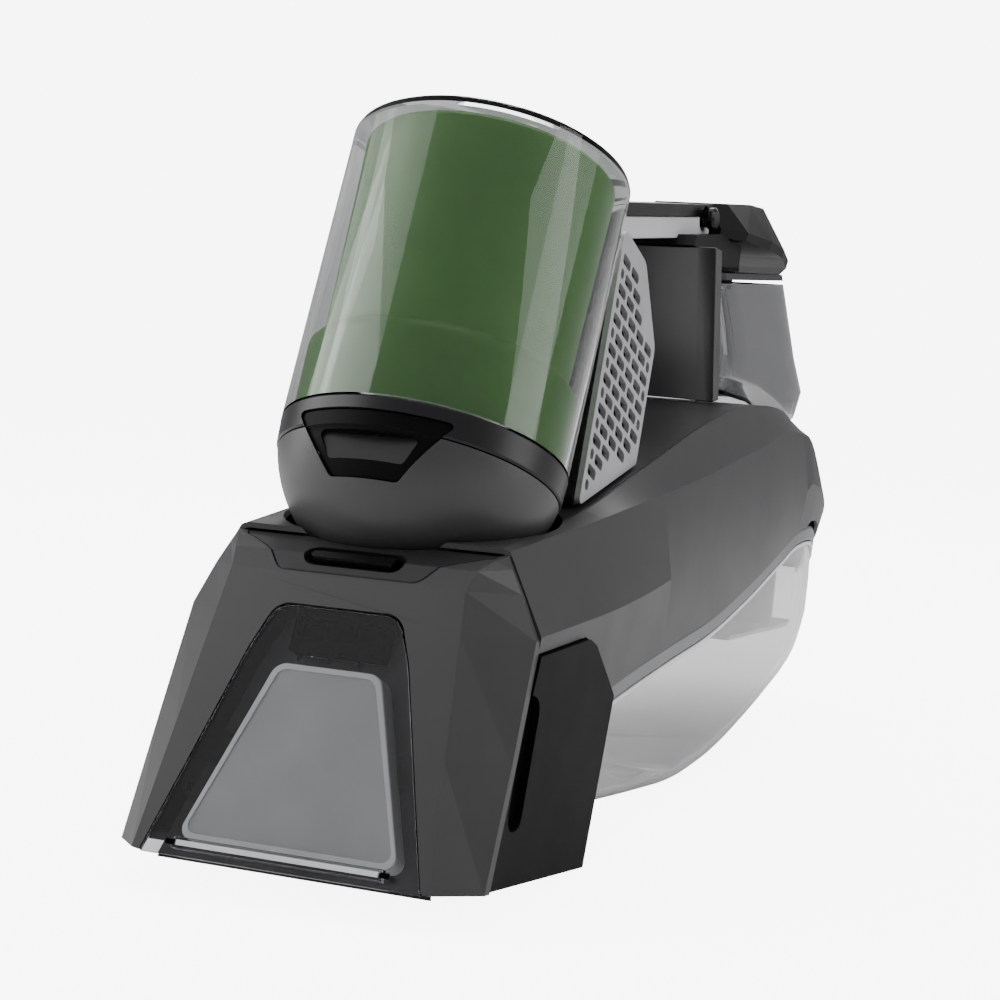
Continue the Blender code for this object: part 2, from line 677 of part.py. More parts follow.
def make_dirty_tank():
    rows = [tank_section(y, along(TANK_BOTTOM, y), along(TANK_TOP, y), 0) for y in TANK_STATIONS]
    thicken(grid("dirty_tank", rows, "clear", close_start=True, close_end=True), 1.8)
    rings = []
    for y in TANK_STATIONS:
        width = tail_width(y) * 0.918
        top = along(TANK_TOP, y)
        rings.append([(width, y, top + GAP), (width, y, top + LID_BAND), (-width, y, top + LID_BAND),
                      (-width, y, top + GAP)])
    lid = grid("tank_lid", rings, "light_grey", close_start=True, close_end=True, closed=True)
    cut(
        lid,
        block("inlet_hole", (31.2, 17.6, 40), (0, 65.9, 52), None),
        rod("outlet_hole", 8, 40, (0, 112, 60), None, sides=20),
    )
    path = [(52.3, 58, 0), (59, 57, -35), (65, 52.5, -70), (67, 46, -90), (67, 30, -90)]
    rows = []
    for y, z, dip in path:
        up = Vector((0, -sin(radians(dip)), cos(radians(dip)))) * 5
        rows.append([(x, y + side * up.y, z + side * up.z) for x, side in
                     ((13.4, -1), (13.4, 1), (-13.4, 1), (-13.4, -1))])
    thicken(grid("tank_inlet", rows, "black_plastic", closed=True), 1.2)
    cage = [(11, 54.4), (11, 33), (6, 33), (6, 34.6), (9.7, 34.6), (9.7, 54.4)]
    turned("float_cage", cage, "light_grey", ROOT, frame((0, 112, 0), (1, 0, 0), (0, 1, 0)), 24)
    rod("tank_float", 9.2, 8, (0, 112, 39), "black_plastic", sides=20)
    slope = tan(radians(PARK_TILT))
    near, far = FOOT_Y - FOOT_LENGTH / 2, FOOT_Y + FOOT_LENGTH / 2
    pad = [(near, 14.0), (near, (near - REST_EDGE_Y) * slope), (far, (far - REST_EDGE_Y) * slope),
           (far, 15.6), (FOOT_Y, 14.2)]
    plate("tank_feet", [pad], -25, 25, "rubber", SIDE_PLANE)
    block("tank_latch", (16, 8, 6.4), (0, LATCH_END_Y, LATCH_Z), "black_plastic")


# ---------------------------------------------------------------- pod

def dome_arc(radius, start, end, steps=6):
    """Points (radius, height) on the dome's sphere between two angles below the ring."""
    turns = [radians(start + (end - start) * k / steps) for k in range(steps + 1)]
    return [(radius * cos(turn), -radius * sin(turn)) for turn in turns]


PORT_PLANE = frame((0, 0, 0), (1, 0, 0), (0, 0, 1))
DOME_WALL = 2.2
POD_STEPS = 36
INLET_TURN = 51.0     # degrees from straight down to the fan inlet, toward the rear
CELL_RADIUS = 9.0
CELL_CIRCLE = 23.0


def port_outline(shrink):
    half = [(9.6 - shrink, -21 + shrink, 2), (23 - shrink, -3.8 - shrink, 1)]
    return rounded(mirrored(half), 2)


def make_pod():
    cover = [(0, POD_LENGTH), (38.6, POD_LENGTH), (POD_RADIUS, POD_LENGTH - 1.4), (POD_RADIUS, GAP),
             (37.9, GAP), (37.9, POD_LENGTH - 3), (0, POD_LENGTH - 3)]
    turned("pod_clear_cover", cover, "clear", POD, Matrix(), POD_STEPS, False)
    liner = [(0, 83.5), (31.2, 83.5), (33.4, 82.5), (34.2, 80), (34.2, 25.5), (36.6, 22.5),
             (37.5, 19.5), (37.5, 0.6), (35.8, 0.6), (35.8, 19), (35, 21.2), (32.7, 24.3),
             (32.7, 79.6), (32.2, 81), (31, 81.9), (0, 81.9)]
    turned("pod_green_housing", liner, "green", POD, Matrix(), POD_STEPS, False)
    band = [(POD_RADIUS, 0), (39.4, -RING_HEIGHT), (37, -RING_HEIGHT), (37, 0)]
    trim = turned("pod_trim_ring", band, "deck_grey", POD, Matrix(), POD_STEPS)
    bowl = dome_arc(POD_RADIUS, 12, 88) + dome_arc(POD_RADIUS - DOME_WALL, 88, 12.8)
    dome = turned("pod_dome", bowl, "dome_grey", POD, Matrix(), POD_STEPS)
    port_space = plate("port_space", [port_outline(0)], 0, 60, None, PORT_PLANE, POD)
    inlet = rod("fan_inlet_hole", 7.4, 30, (0, 0, -38), None, "Z", ROOT, 20, None,
                Matrix.Translation(P(0, 0, POD_RING_Z)) @ Matrix.Rotation(radians(INLET_TURN - 12), 4, "X"))
    cut(trim, port_space)
    cut(dome, port_space, inlet)
    front = [(39.2, -3.4), (38.6, -RING_HEIGHT)] + dome_arc(39.2, 13, 33, 5)
    front += dome_arc(36.4, 33, 13, 5) + [(36.4, -3.4)]
    bezel = turned("port_bezel", front, "panel_black", POD, Matrix(), POD_STEPS)
    keep(bezel, plate("bezel_zone", [port_outline(GAP)], 0, 60, None, PORT_PLANE, POD))
    hollow = rounded(mirrored([(7.6, -16.6, 1.5), (10.2, -10.6, 1.5)]), 2)
    cut(bezel, plate("port_hollow", [hollow], 0, 60, None, PORT_PLANE, POD))
    socket = block("charge_socket", (17, 3, 8), (0, -28.7, -13.4), "black_plastic", POD)
    cut(socket, rod("socket_hole", 2.4, 4, (0, -30.6, -13.4), None, "Y", POD, 12))
    make_power_unit()


def make_power_unit():
    """Fan, motor and battery inside the pod."""
    disc = [(0, -4), (7, -4), (7, -10), (25.4, -13.4), (25.4, -14.6), (0, -14.6)]
    fan = turned("fan_impeller", disc, "light_grey", POD, Matrix(), 24, False)
    for k in range(8):
        turn = 2 * pi * k / 8
        blade = block("blade_%d" % k, (1.2, 17, 7), (0, 15.6, -10.5), None, POD,
                      Matrix.Rotation(turn, 4, "Z") @ Matrix.Rotation(radians(-25), 4, "Z"))
        combine(fan, blade, "UNION")
    rod("fan_motor", 13.4, 30, (0, 0, 17), "steel", "Z", POD, 24)
    bm = bmesh.new()
    for k in range(6):
        turn = 2 * pi * (k + 0.5) / 6
        rod_mesh(bm, CELL_RADIUS, 65, (CELL_CIRCLE * cos(turn), CELL_CIRCLE * sin(turn), 36.2), "Z", 14)
    pack = ring("battery_pack", 30, 15, 5.4, 3.9, "cell_blue", POD, Matrix(), 24)
    combine(pack, place("battery_cells", to_mesh("battery_cells", bm), None, POD), "UNION")


# ---------------------------------------------------------------- neck, handle and clean tank

NECK_FRONT, NECK_REAR = 33.0, 77.0      # distances behind the pod's axis
NECK_SIDE = 32.4                        # half width at the foot
NECK_TOE = radians(2.5)                 # each side leans in
DECK_SLOPE = 0.2967


def pod_side(behind, up):
    """Side-view point (y, z) at a distance behind the pod's axis and a height along it."""
    return (behind * cos(LEAN) + up * sin(LEAN), POD_RING_Z - behind * sin(LEAN) + up * cos(LEAN))


def deck_meet(behind, clearance=0.5):
    """Height along the pod's axis at which a line behind it meets the deck."""
    y0, z0 = pod_side(behind, 0)
    return (95.5 + clearance + DECK_SLOPE * (y0 - 26) - z0) / (cos(LEAN) - DECK_SLOPE * sin(LEAN))


def neck_outline(inset):
    """Side outline of the neck in distances (behind, up) from the pod's ring centre."""
    front, rear = NECK_FRONT + inset, NECK_REAR - inset
    return [
        (front, deck_meet(front) + inset * 1.2, 1.5),
        (rear, deck_meet(rear) + inset * 1.2, 1.5),
        (rear, 68 - inset, 5),
        (56 - inset * 0.4, 87 - inset, 6),
        (front, 87 - inset, 3),
    ]


NECK_PLANE = frame((0, 0, POD_RING_Z), (0, cos(LEAN), -sin(LEAN)), (0, sin(LEAN), cos(LEAN)))


def side_frame(side):
    """Plane of the neck's left or right flank."""
    return frame((side * NECK_SIDE, 0, POD_RING_Z), (0, cos(LEAN), -sin(LEAN)),
                 (-side * tan(NECK_TOE), sin(LEAN), cos(LEAN)))


def grille_slots():
    """Brick pattern of slots inside the neck's outline."""
    slots = []
    low_left, low_right, high_right, high_mid, high_left = [c[:2] for c in neck_outline(3.4)]
    row, up = 0, 2.0
    while up < 84:
        behind = NECK_FRONT + 3.2 + (4.4 if row % 2 else 0)
        while behind < NECK_REAR - 3:
            length = 6.4
            ends = (behind, behind + length)
            slope = (low_right[1] - low_left[1]) / (low_right[0] - low_left[0])
            floor = low_left[1] + slope * (ends[1] - low_left[0])
            slope = (high_right[1] - high_mid[1]) / (high_right[0] - high_mid[0])
            roof = min(high_left[1], high_mid[1] + slope * max(ends[1] - high_mid[0], 0))
            if up > floor and up + 2.6 < roof and ends[1] < high_right[0]:
                slots.append([(ends[0], up), (ends[1], up), (ends[1], up + 2.6), (ends[0], up + 2.6)])
            behind += 8.8
        up += 4.7
        row += 1
    return slots


def make_neck():
    neck = plate("neck_housing", [rounded(neck_outline(0), 3)], -34, 34, "black_plastic", NECK_PLANE)
    pod_space = rod("pod_space", 42.6, 130, (0, 0, 45), None, "Z", POD, 48)
    chamber = plate("neck_chamber", [rounded(neck_outline(3), 2)], -60, 60, None, NECK_PLANE)
    cut(chamber, rod("pod_wall", 45, 130, (0, 0, 45), None, "Z", POD, 48))
    trim = [(-40, -60), (160, -60), (160, 160), (-40, 160)]
    cut(
        neck,
        pod_space,
        chamber,
        plate("trim_right", [trim], 0, 60, None, side_frame(1)),
        plate("trim_left", [trim], -60, 0, None, side_frame(-1)),
    )
    for side, name in ((1, "right"), (-1, "left")):
        low, high = (GAP, 1.9) if side > 0 else (-1.9, -GAP)
        outline = rounded(neck_outline(0.4), 3)
        plate("exhaust_grille_" + name, [outline] + grille_slots(), low, high, "silver", side_frame(side))


HANDLE_START_Y, HANDLE_END_Y = 61.0, 203.7
HANDLE_RISE = 0.158


def handle_z(y):
    return 197 + HANDLE_RISE * (y - 118)


def handle_bar(name, start, high, low, half_width, finish, bevel):
    ends = (start, HANDLE_END_Y)
    outline = [(ends[0], handle_z(ends[0]) - low), (ends[1], handle_z(ends[1]) - low),
               (ends[1], handle_z(ends[1]) - high), (ends[0], handle_z(ends[0]) - high)]
    bar = plate(name, [outline], -half_width, half_width, finish, SIDE_PLANE)
    edge = bar.modifiers.new("edges", "BEVEL")
    edge.width = bevel * MM
    edge.segments = 2
    return bar


def make_handle():
    top = handle_bar("handle_top", HANDLE_START_Y, 0, 5.5, HANDLE_HALF_WIDTH, "gloss_black", 1.8)
    grip = handle_bar("handle_grip", HANDLE_START_Y + 5.6, 5.8, 10, 9.8, "light_grey", 1.2)
    knob_space = rod("knob_space", 4.3, 6, (10.6, 196, handle_z(196) - 5), None, "X", sides=16)
    cut(grip, knob_space)
    rise = frame((0, 0, 0), (1, 0, 0), (0, 1, HANDLE_RISE))
    for y, radius, name in ((82, 4.6, "brush_button"), (98, 5.6, "power_button")):
        spot = Matrix.Translation(P(0, y, handle_z(y))) @ rise
        well = rod(name + "_well", radius + GAP, 9.6, (0, 0, 0), None, "Z", ROOT, 20, None, spot)
        cut(top, well)
        rod(name, radius, 3.6, (0, 0, -0.8), "silver", "Z", ROOT, 20, None, spot)
    cut(top, knob_space)
    knob = frame((12.2, 196, handle_z(196) - 5), (0, 1, 0), (0, 0, 1))
    turned("tank_release_button", [(0, 3), (3.2, 3), (4, 2.2), (4, 0.6), (3, -0.6), (3, -3), (0, -3)],
           "gloss_black", ROOT, knob, 20, False)
    make_trigger(grip)


TRIGGER_Y = 84.0


def make_trigger(grip):
    pivot_z = handle_z(TRIGGER_Y) - 14.2
    bracket = [(TRIGGER_Y - 4, pivot_z + 6.5), (TRIGGER_Y + 4, pivot_z + 7.5), (TRIGGER_Y + 4, pivot_z - 3),
               (TRIGGER_Y - 4, pivot_z - 3)]
    for side, name in ((1, "right"), (-1, "left")):
        low, high = (5.1, 7.1) if side > 0 else (-7.1, -5.1)
        combine(grip, plate("trigger_cheek_" + name, [bracket], low, high, None, SIDE_PLANE), "UNION")
    cut(grip, rod("pin_hole", 1.5, 20, (0, TRIGGER_Y, pivot_z), None, "X", sides=12))
    rod("trigger_pin", 1.2, 14, (0, TRIGGER_Y, pivot_z), "steel", "X", sides=12)
    lever = [(-3.4, -3, 1), (3.2, -3.4, 1.4), (20, -3.8, 3), (28, -10.5, 2), (30, -9, 1), (24, 0.5, 2),
             (3.2, 3.0, 1.2), (-3.4, 2.6, 1)]
    outline = [(TRIGGER_Y + y, pivot_z + z) for y, z in rounded(lever, 2)]
    trigger = plate("trigger", [outline], -4.8, 4.8, "panel_black", SIDE_PLANE)
    cut(trigger, rod("trigger_bore", 1.5, 20, (0, TRIGGER_Y, pivot_z), None, "X", sides=12))


SLIDE_RISE = tan(radians(7.5))


def tank_ring(front, rear, half_width, base, rise, corner):
    """Rounded rectangle in plan whose height climbs toward the rear."""
    outline = rounded([(half_width, front, corner), (half_width, rear, corner), (-half_width, rear, corner),
                       (-half_width, front, corner)], 3)
    return [(x, y, base + rise * (y - 180)) for x, y in outline]


# Clean tank's levels: front and rear y, half width, height, fall of its height behind FALL_Y
CLEAN_LEVELS = [(177.2, 262.5, 24.2, 180.3, 0), (183, 280, 26.6, 165.5, 0.02), (184.8, 291, 27.8, 157, 0.07),
                (187.2, 286, 27, 149.5, 0.13), (190, 274, 23.5, 143.9, 0.17)]
FALL_Y = 232


def clean_section(u):
    """Section of the clean tank at a share u of its length, with its four corners eased."""
    ease = {0: 5, 0.07: 1.3, 0.93: 1.3, 1: 5}.get(u, 0)
    half = []
    for k, (front, rear, width, height, fall) in enumerate(CLEAN_LEVELS):
        y = front + u * (rear - front)
        rise = SLIDE_RISE * (y - 180) if k == 0 else 0
        half.append((width - ease, y, height + rise - fall * max(y - FALL_Y, 0)))
    return half + [(-x, y, z) for x, y, z in reversed(half)]


def make_rear():
    column = [(180.4, 139.8), (186.6, 141.1), (173.6, 190.6), (166.6, 190.6)]
    wall = plate("rear_column", [column], -25, 25, "deck_grey", SIDE_PLANE)
    lean = Matrix.Translation(P(0, 173.5, 165)) @ Matrix.Rotation(REAR, 4, "X")
    cut(wall, rod("column_hollow", 70, 90, (0, -66.6, 0), None, "Z", ROOT, 64, None, lean))
    sections = [clean_section(u) for u in (0, 0.07, 0.25, 0.5, 0.78, 0.93, 1)]
    shell = thicken(grid("clean_tank", sections, "clear", close_start=True, close_end=True), 1.7)
    cut(shell, rod("tank_outlet", 4.2, 12, (0, 205, 144), None, sides=14))
    lid_rings = [tank_ring(177.2, 262.5, 24.2, 181.5, SLIDE_RISE, 7),
                 tank_ring(177.6, 262, 23.8, 183.7, SLIDE_RISE, 7)]
    lid = grid("clean_tank_lid", lid_rings, "light_grey", close_start=True, close_end=True, closed=True)
    cut(lid, rod("fill_hole", 8.2, 30, (0, 246, 192), None, sides=20))
    slide = frame((0, 246, 181.5 + SLIDE_RISE * 66), (1, 0, 0), (0, 1, SLIDE_RISE))
    plug = [(0, 4), (9.6, 4), (9.6, 2.5), (7.8, 2.5), (7.2, -4), (0, -4)]
    turned("fill_plug", plug, "rubber", ROOT, slide, 20, False)
    cap_rows = [(204, 199.2, 211, 14), (212, 199.4, 212.3, 21.5), (236, 200, 216, 23.6),
                (254, 199.6, 217.6, 23.4), (268, 197.6, 210, 21.5), (279, 195.4, 200.5, 15)]
    rows = []
    for y, low, high, half in cap_rows:
        side = [(half, y, low), (half + 0.6, y, low + 3), (half * 0.62, y, high)]
        rows.append(side + [(-x, depth, height) for x, depth, height in reversed(side)])
    cap = grid("rear_cap", rows, "gloss_black", close_start=True, close_end=True, closed=True)
    bridge = [(167, 191), (176, 191), (176.2, 185.4), (222, 191.2), (222, 198.9), (206, 198.7),
              (203.4, 200.2), (169.4, 194.8)]
    combine(cap, plate("rear_bridge", [bridge], -17, 17, None, SIDE_PLANE), "UNION")


# ---------------------------------------------------------------- inside the body

def make_inside():
    aim = radians(INLET_TURN - 12)
    reach = POD_RADIUS + 0.6
    start = Vector((0, sin(aim) * reach, POD_RING_Z - cos(aim) * reach))
    route = [start, start + Vector((0, sin(aim), -cos(aim))) * 3.2, Vector((0, 40, 72.5)),
             Vector((0, 60, 78)), Vector((0, 84, 82)), Vector((0, 101, 80)), Vector((0, 110.5, 73)),
             Vector((0, 112, 65.2))]
    rows = []
    for k, here in enumerate(route):
        back, ahead = route[max(k - 1, 0)], route[min(k + 1, len(route) - 1)]
        along_pipe = (ahead - back).normalized()
        if k == len(route) - 1:
            along_pipe = Vector((0, 0, -1))
        over = Vector((0, along_pipe.z, -along_pipe.y))
        turns = [2 * pi * i / 16 for i in range(16)]
        rows.append([tuple(here + over * 7.2 * cos(t) + Vector((7.2 * sin(t), 0, 0))) for t in turns])
    thicken(grid("air_duct", rows, "black_plastic", closed=True), 1.2)
    pump = rod("water_pump", 10.5, 36, (18, 142, 93), "steel", "Y", sides=20)
    combine(pump, block("pump_head", (22, 12, 24), (18, 119.4, 93), None), "UNION")
    combine(pump, rod("pump_inlet", 3, 24, (18, 170, 93), None, "Y", sides=12), "UNION")
    block("control_board", (58, 52, 1.6), (0, 196, 112), "board")
    spray = bend([(18, 113, 93), (20, 104, 92), (32, 84, 86), (38.5, 56, 80), (39.5, 20, 76), (39, -8, 70),
                  (32, -27.6, 62.6), (27, -34.1, 56)])
    tube("spray_hose", spray, 2.2, "rubber")
    tip = frame((27, -36.2, 50.6), (1, 0, 0), (0, 0.94, 0.34))
    nozzle = [(0, 3.4), (3, 3.4), (3, -2), (1.4, -4.4), (0, -4.4)]
    turned("spray_tip", nozzle, "black_plastic", ROOT, tip, 16, False)


make_head()
make_body()
make_dirty_tank()
make_pod()
make_neck()
make_handle()
make_rear()
make_inside()
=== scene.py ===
"""Looks of the handheld spot cleaner: detailed pieces, materials, camera and light round the CAD frame.

Shapes are in millimetres in the machine's own frame, which the MACHINE matrix tips back onto
the foot of the dirty-water tank, as the CAD model stands.
"""
import bpy
import bmesh
import json
from math import atan2, cos, pi, radians, sin, sqrt, tan
from mathutils import Matrix, Vector

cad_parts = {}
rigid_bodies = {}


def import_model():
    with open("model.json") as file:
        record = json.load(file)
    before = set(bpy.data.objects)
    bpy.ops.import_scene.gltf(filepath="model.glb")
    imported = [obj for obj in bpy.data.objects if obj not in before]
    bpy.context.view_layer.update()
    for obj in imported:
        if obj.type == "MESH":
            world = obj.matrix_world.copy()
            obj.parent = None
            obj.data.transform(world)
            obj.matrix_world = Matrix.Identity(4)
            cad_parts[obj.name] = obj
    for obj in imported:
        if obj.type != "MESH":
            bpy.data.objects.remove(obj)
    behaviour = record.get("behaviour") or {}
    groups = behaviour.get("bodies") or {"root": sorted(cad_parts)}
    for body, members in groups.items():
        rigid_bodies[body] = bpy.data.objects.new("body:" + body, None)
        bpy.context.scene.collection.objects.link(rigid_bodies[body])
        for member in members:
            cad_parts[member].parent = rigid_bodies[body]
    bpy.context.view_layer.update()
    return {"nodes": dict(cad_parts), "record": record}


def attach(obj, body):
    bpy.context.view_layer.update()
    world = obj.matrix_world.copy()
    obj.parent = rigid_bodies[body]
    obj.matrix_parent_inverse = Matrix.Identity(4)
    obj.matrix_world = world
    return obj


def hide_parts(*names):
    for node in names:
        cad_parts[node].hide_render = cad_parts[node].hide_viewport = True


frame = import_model()

MM = 0.001
GAP = 0.3
PARK_TILT = 6.5
REST_EDGE_Y = 20.7
REST_SHIFT_Y = -134.03
POD_RADIUS = 40.0
POD_LENGTH = 88.6
POD_LEAN = 18.0
POD_RING_Z = 108.4
RING_HEIGHT = 8.0
SEAT_RADIUS = 42.2
FACE_LEAN = 17.5
FACE_FOOT_Y = -64.5
SEAM_Y = -28.0
# Body and dirty tank
BODY_FRONT_Y = -34.0
TAIL_START_Y = 246.0
TAIL_LENGTH = 76.0
TANK_FRONT_Y = 37.0
TANK_REAR_Y = 311.0
LID_BAND = 5.5

# Rear column, clean tank and handle
REAR_LEAN = 16.5     # degrees that the column's face leans forward
HANDLE_HALF_WIDTH = 11.0

HALF_WIDTH = [(-36, 49.8), (33, 48.8), (120, 46.5), (200, 45.2), (246, 44)]
CREASE_LOW = [(-36, 82.4), (-1, 89), (40, 97), (113, 111), (184, 126), (228, 135), (250, 135),
              (270, 127), (290, 118), (305, 112), (322, 107)]
CREASE_HIGH = [(-36, 83), (26, 95.5), (75, 110), (154, 133.5), (190, 140.5), (225, 142.5), (250, 139),
               (270, 130), (290, 120), (305, 113.5), (322, 108)]
TANK_TOP = [(36, 41.5), (56, 46), (103, 55), (143, 62.5), (185, 74), (232, 89), (256, 96),
            (274, 97.5), (293, 93.5), (312, 86), (322, 82)]
TANK_BOTTOM = [(36, 15.5), (66, 13.8), (128, 14.6), (171, 20), (215, 31), (251, 42), (285, 55),
               (302, 65), (312, 74)]


def P(x, y, z):
    return Vector((x, y, z)) * MM


def smooth_line(line):
    """The same line with short straight steps along a monotone cubic through its points."""
    slopes = [(b[1] - a[1]) / (b[0] - a[0]) for a, b in zip(line, line[1:])]
    tangents = [slopes[0]]
    for before, after in zip(slopes, slopes[1:]):
        tangents.append(0 if before * after <= 0 else 2 * before * after / (before + after))
    tangents.append(slopes[-1])
    fine = []
    for i, (a, b) in enumerate(zip(line, line[1:])):
        reach = b[0] - a[0]
        for k in range(8):
            t = k / 8
            y = (1 + 2 * t) * (1 - t) ** 2 * a[1] + t * (1 - t) ** 2 * reach * tangents[i]
            y += t * t * (3 - 2 * t) * b[1] + t * t * (t - 1) * reach * tangents[i + 1]
            fine.append((a[0] + reach * t, y))
    return fine + [line[-1]]


def along(line, y):
    """Height or width at y on a line of (y, value) points, straight between them."""
    if y <= line[0][0]:
        return line[0][1]
    for (y0, v0), (y1, v1) in zip(line, line[1:]):
        if y <= y1:
            return v0 + (v1 - v0) * (y - y0) / (y1 - y0)
    return line[-1][1]


def frame_at(origin, x_axis, y_axis):
    """Matrix with the given origin (mm) and local X and Y directions."""
    x_axis = Vector(x_axis).normalized()
    y_axis = Vector(y_axis).normalized()
    turn = Matrix((x_axis, y_axis, x_axis.cross(y_axis))).transposed()
    return Matrix.Translation(P(*origin)) @ turn.to_4x4()


MACHINE = Matrix.Translation(P(0, REST_SHIFT_Y, REST_EDGE_Y * sin(radians(PARK_TILT)))) @ Matrix.Rotation(
    radians(-PARK_TILT), 4, "X"
)
LEAN = radians(POD_LEAN)
POD = MACHINE @ frame_at((0, 0, POD_RING_Z), (1, 0, 0), (0, cos(LEAN), -sin(LEAN)))
FACE = radians(FACE_LEAN)
FACE_PLANE = frame_at((0, FACE_FOOT_Y, 0), (1, 0, 0), (0, sin(FACE), cos(FACE)))
SIDE_PLANE = frame_at((0, 0, 0), (0, 1, 0), (0, 0, 1))
FLAT_PLANE = frame_at((0, 0, 0), (1, 0, 0), (0, 1, 0))
REAR = radians(REAR_LEAN)
HALF_WIDTH, CREASE_LOW, CREASE_HIGH, TANK_TOP, TANK_BOTTOM = (
    smooth_line(line) for line in (HALF_WIDTH, CREASE_LOW, CREASE_HIGH, TANK_TOP, TANK_BOTTOM)
)


PARTS = bpy.data.collections.new("workshop")
CUTTERS = bpy.data.collections.new("cutters")
for group in (PARTS, CUTTERS):
    bpy.context.scene.collection.children.link(group)


def place(name, mesh, finish, parent=MACHINE, matrix=Matrix()):
    obj = bpy.data.objects.new(name, mesh)
    obj.matrix_world = parent @ matrix
    CUTTERS.objects.link(obj)
    return obj


def smooth(obj, angle=35):
    return obj


def to_mesh(name, bm):
    mesh = bpy.data.meshes.new(name)
    bm.to_mesh(mesh)
    bm.free()
    return mesh


TURNS = {"X": Matrix.Rotation(pi / 2, 4, "Y"), "Y": Matrix.Rotation(-pi / 2, 4, "X"), "Z": Matrix()}


CREASE_LOW_X = [(-36, 38.4), (-1, 40.2), (40, 42.2), (113, 43.4), (184, 42.6), (246, 41)]
CREASE_HIGH_X = [(-36, 37), (26, 36.4), (240, 35.4), (246, 35.2)]
BELT_LINE = [(-36, 62), (40, 72), (113, 86), (200, 104), (246, 115)]
CREASE_LOW_X, CREASE_HIGH_X, BELT_LINE = (
    smooth_line(line) for line in (CREASE_LOW_X, CREASE_HIGH_X, BELT_LINE)
)


def block(name, size, centre, finish, parent=MACHINE, matrix=Matrix(), bevel=0):
    bm = bmesh.new()
    bmesh.ops.create_cube(bm, size=1)
    bmesh.ops.scale(bm, vec=Vector(size) * MM, verts=bm.verts)
    bmesh.ops.translate(bm, vec=P(*centre), verts=bm.verts)
    obj = place(name, to_mesh(name, bm), finish, parent, matrix)
    if bevel:
        edge = obj.modifiers.new("edges", "BEVEL")
        edge.width = bevel * MM
        edge.segments = 2
    return obj


def rod_mesh(bm, radius, length, centre, axis="Z", sides=16, tip=None):
    """Adds a closed cylinder, or a cone with another tip radius, to bm."""
    bmesh.ops.create_cone(
        bm,
        cap_ends=True,
        segments=sides,
        radius1=radius * MM,
        radius2=(radius if tip is None else tip) * MM,
        depth=length * MM,
        matrix=Matrix.Translation(P(*centre)) @ TURNS[axis],
    )


def rod(name, radius, length, centre, finish, axis="Z", parent=MACHINE, sides=16, tip=None, matrix=Matrix()):
    bm = bmesh.new()
    rod_mesh(bm, radius, length, centre, axis, sides, tip)
    return smooth(place(name, to_mesh(name, bm), finish, parent, matrix))


def ball(name, radius, centre, finish, parent=MACHINE):
    bm = bmesh.new()
    bmesh.ops.create_uvsphere(
        bm, u_segments=40, v_segments=20, radius=radius * MM, matrix=Matrix.Translation(P(*centre))
    )
    return smooth(place(name, to_mesh(name, bm), finish, parent))


def turned(name, profile, finish, parent=MACHINE, matrix=Matrix(), steps=40, closed=True):
    """Turns a profile of (radius, height) points about local Z; its outer side runs top to bottom."""
    bm = bmesh.new()
    points = [bm.verts.new(P(r, 0, z)) for r, z in profile]
    pairs = list(zip(points, points[1:]))
    if closed:
        pairs.append((points[-1], points[0]))
    for a, b in pairs:
        bm.edges.new((a, b))
    obj = place(name, to_mesh(name, bm), finish, parent, matrix)
    screw = obj.modifiers.new("turn", "SCREW")
    screw.steps = steps
    screw.render_steps = steps
    screw.use_merge_vertices = True
    screw.merge_threshold = 0.00001
    screw.use_smooth_shade = True
    return obj


def ring(name, outer, inner, top, bottom, finish, parent=MACHINE, matrix=Matrix(), steps=32):
    profile = [(outer, top), (outer, bottom), (inner, bottom), (inner, top)]
    return turned(name, profile, finish, parent, matrix, steps)


def rounded(corners, steps=4):
    """Outline whose corners (x, y, radius) are turned into arcs."""
    points = []
    for i, (x, y, radius) in enumerate(corners):
        here = Vector((x, y))
        if not radius:
            points.append(here)
            continue
        back = (Vector(corners[i - 1][:2]) - here).normalized()
        ahead = (Vector(corners[(i + 1) % len(corners)][:2]) - here).normalized()
        half = back.angle(ahead) / 2
        centre = here + (back + ahead).normalized() * radius / sin(half)
        first = here + back * radius / tan(half) - centre
        last = here + ahead * radius / tan(half) - centre
        start = atan2(first.y, first.x)
        sweep = (atan2(last.y, last.x) - start + pi) % (2 * pi) - pi
        for k in range(steps + 1):
            turn = start + sweep * k / steps
            points.append(centre + Vector((cos(turn), sin(turn))) * radius)
    return points


def mirrored(half):
    """Closed outline from its right half, listed from bottom to top."""
    return half + [(-x, y, r) for x, y, r in reversed(half)]


def plate(name, outlines, low, high, finish, plane=FLAT_PLANE, parent=MACHINE):
    """Flat outline, with holes after the first, from depth low to high along the plane's normal."""
    curve = bpy.data.curves.new(name, "CURVE")
    curve.dimensions = "2D"
    curve.fill_mode = "BOTH"
    curve.extrude = (high - low) / 2 * MM
    for outline in outlines:
        spline = curve.splines.new("POLY")
        spline.points.add(len(outline) - 1)
        spline.use_cyclic_u = True
        for point, (x, y) in zip(spline.points, outline):
            point.co = (x * MM, y * MM, 0, 1)
    guide = bpy.data.objects.new(name + "_curve", curve)
    CUTTERS.objects.link(guide)
    graph = bpy.context.evaluated_depsgraph_get()
    mesh = bpy.data.meshes.new_from_object(guide.evaluated_get(graph))
    bpy.data.objects.remove(guide)
    bm = bmesh.new()
    bm.from_mesh(mesh)
    bmesh.ops.remove_doubles(bm, verts=bm.verts, dist=0.000001)
    bmesh.ops.translate(bm, vec=P(0, 0, (low + high) / 2), verts=bm.verts)
    bmesh.ops.recalc_face_normals(bm, faces=bm.faces)
    bm.to_mesh(mesh)
    bm.free()
    mesh.materials.clear()
    return place(name, mesh, finish, parent, plane)


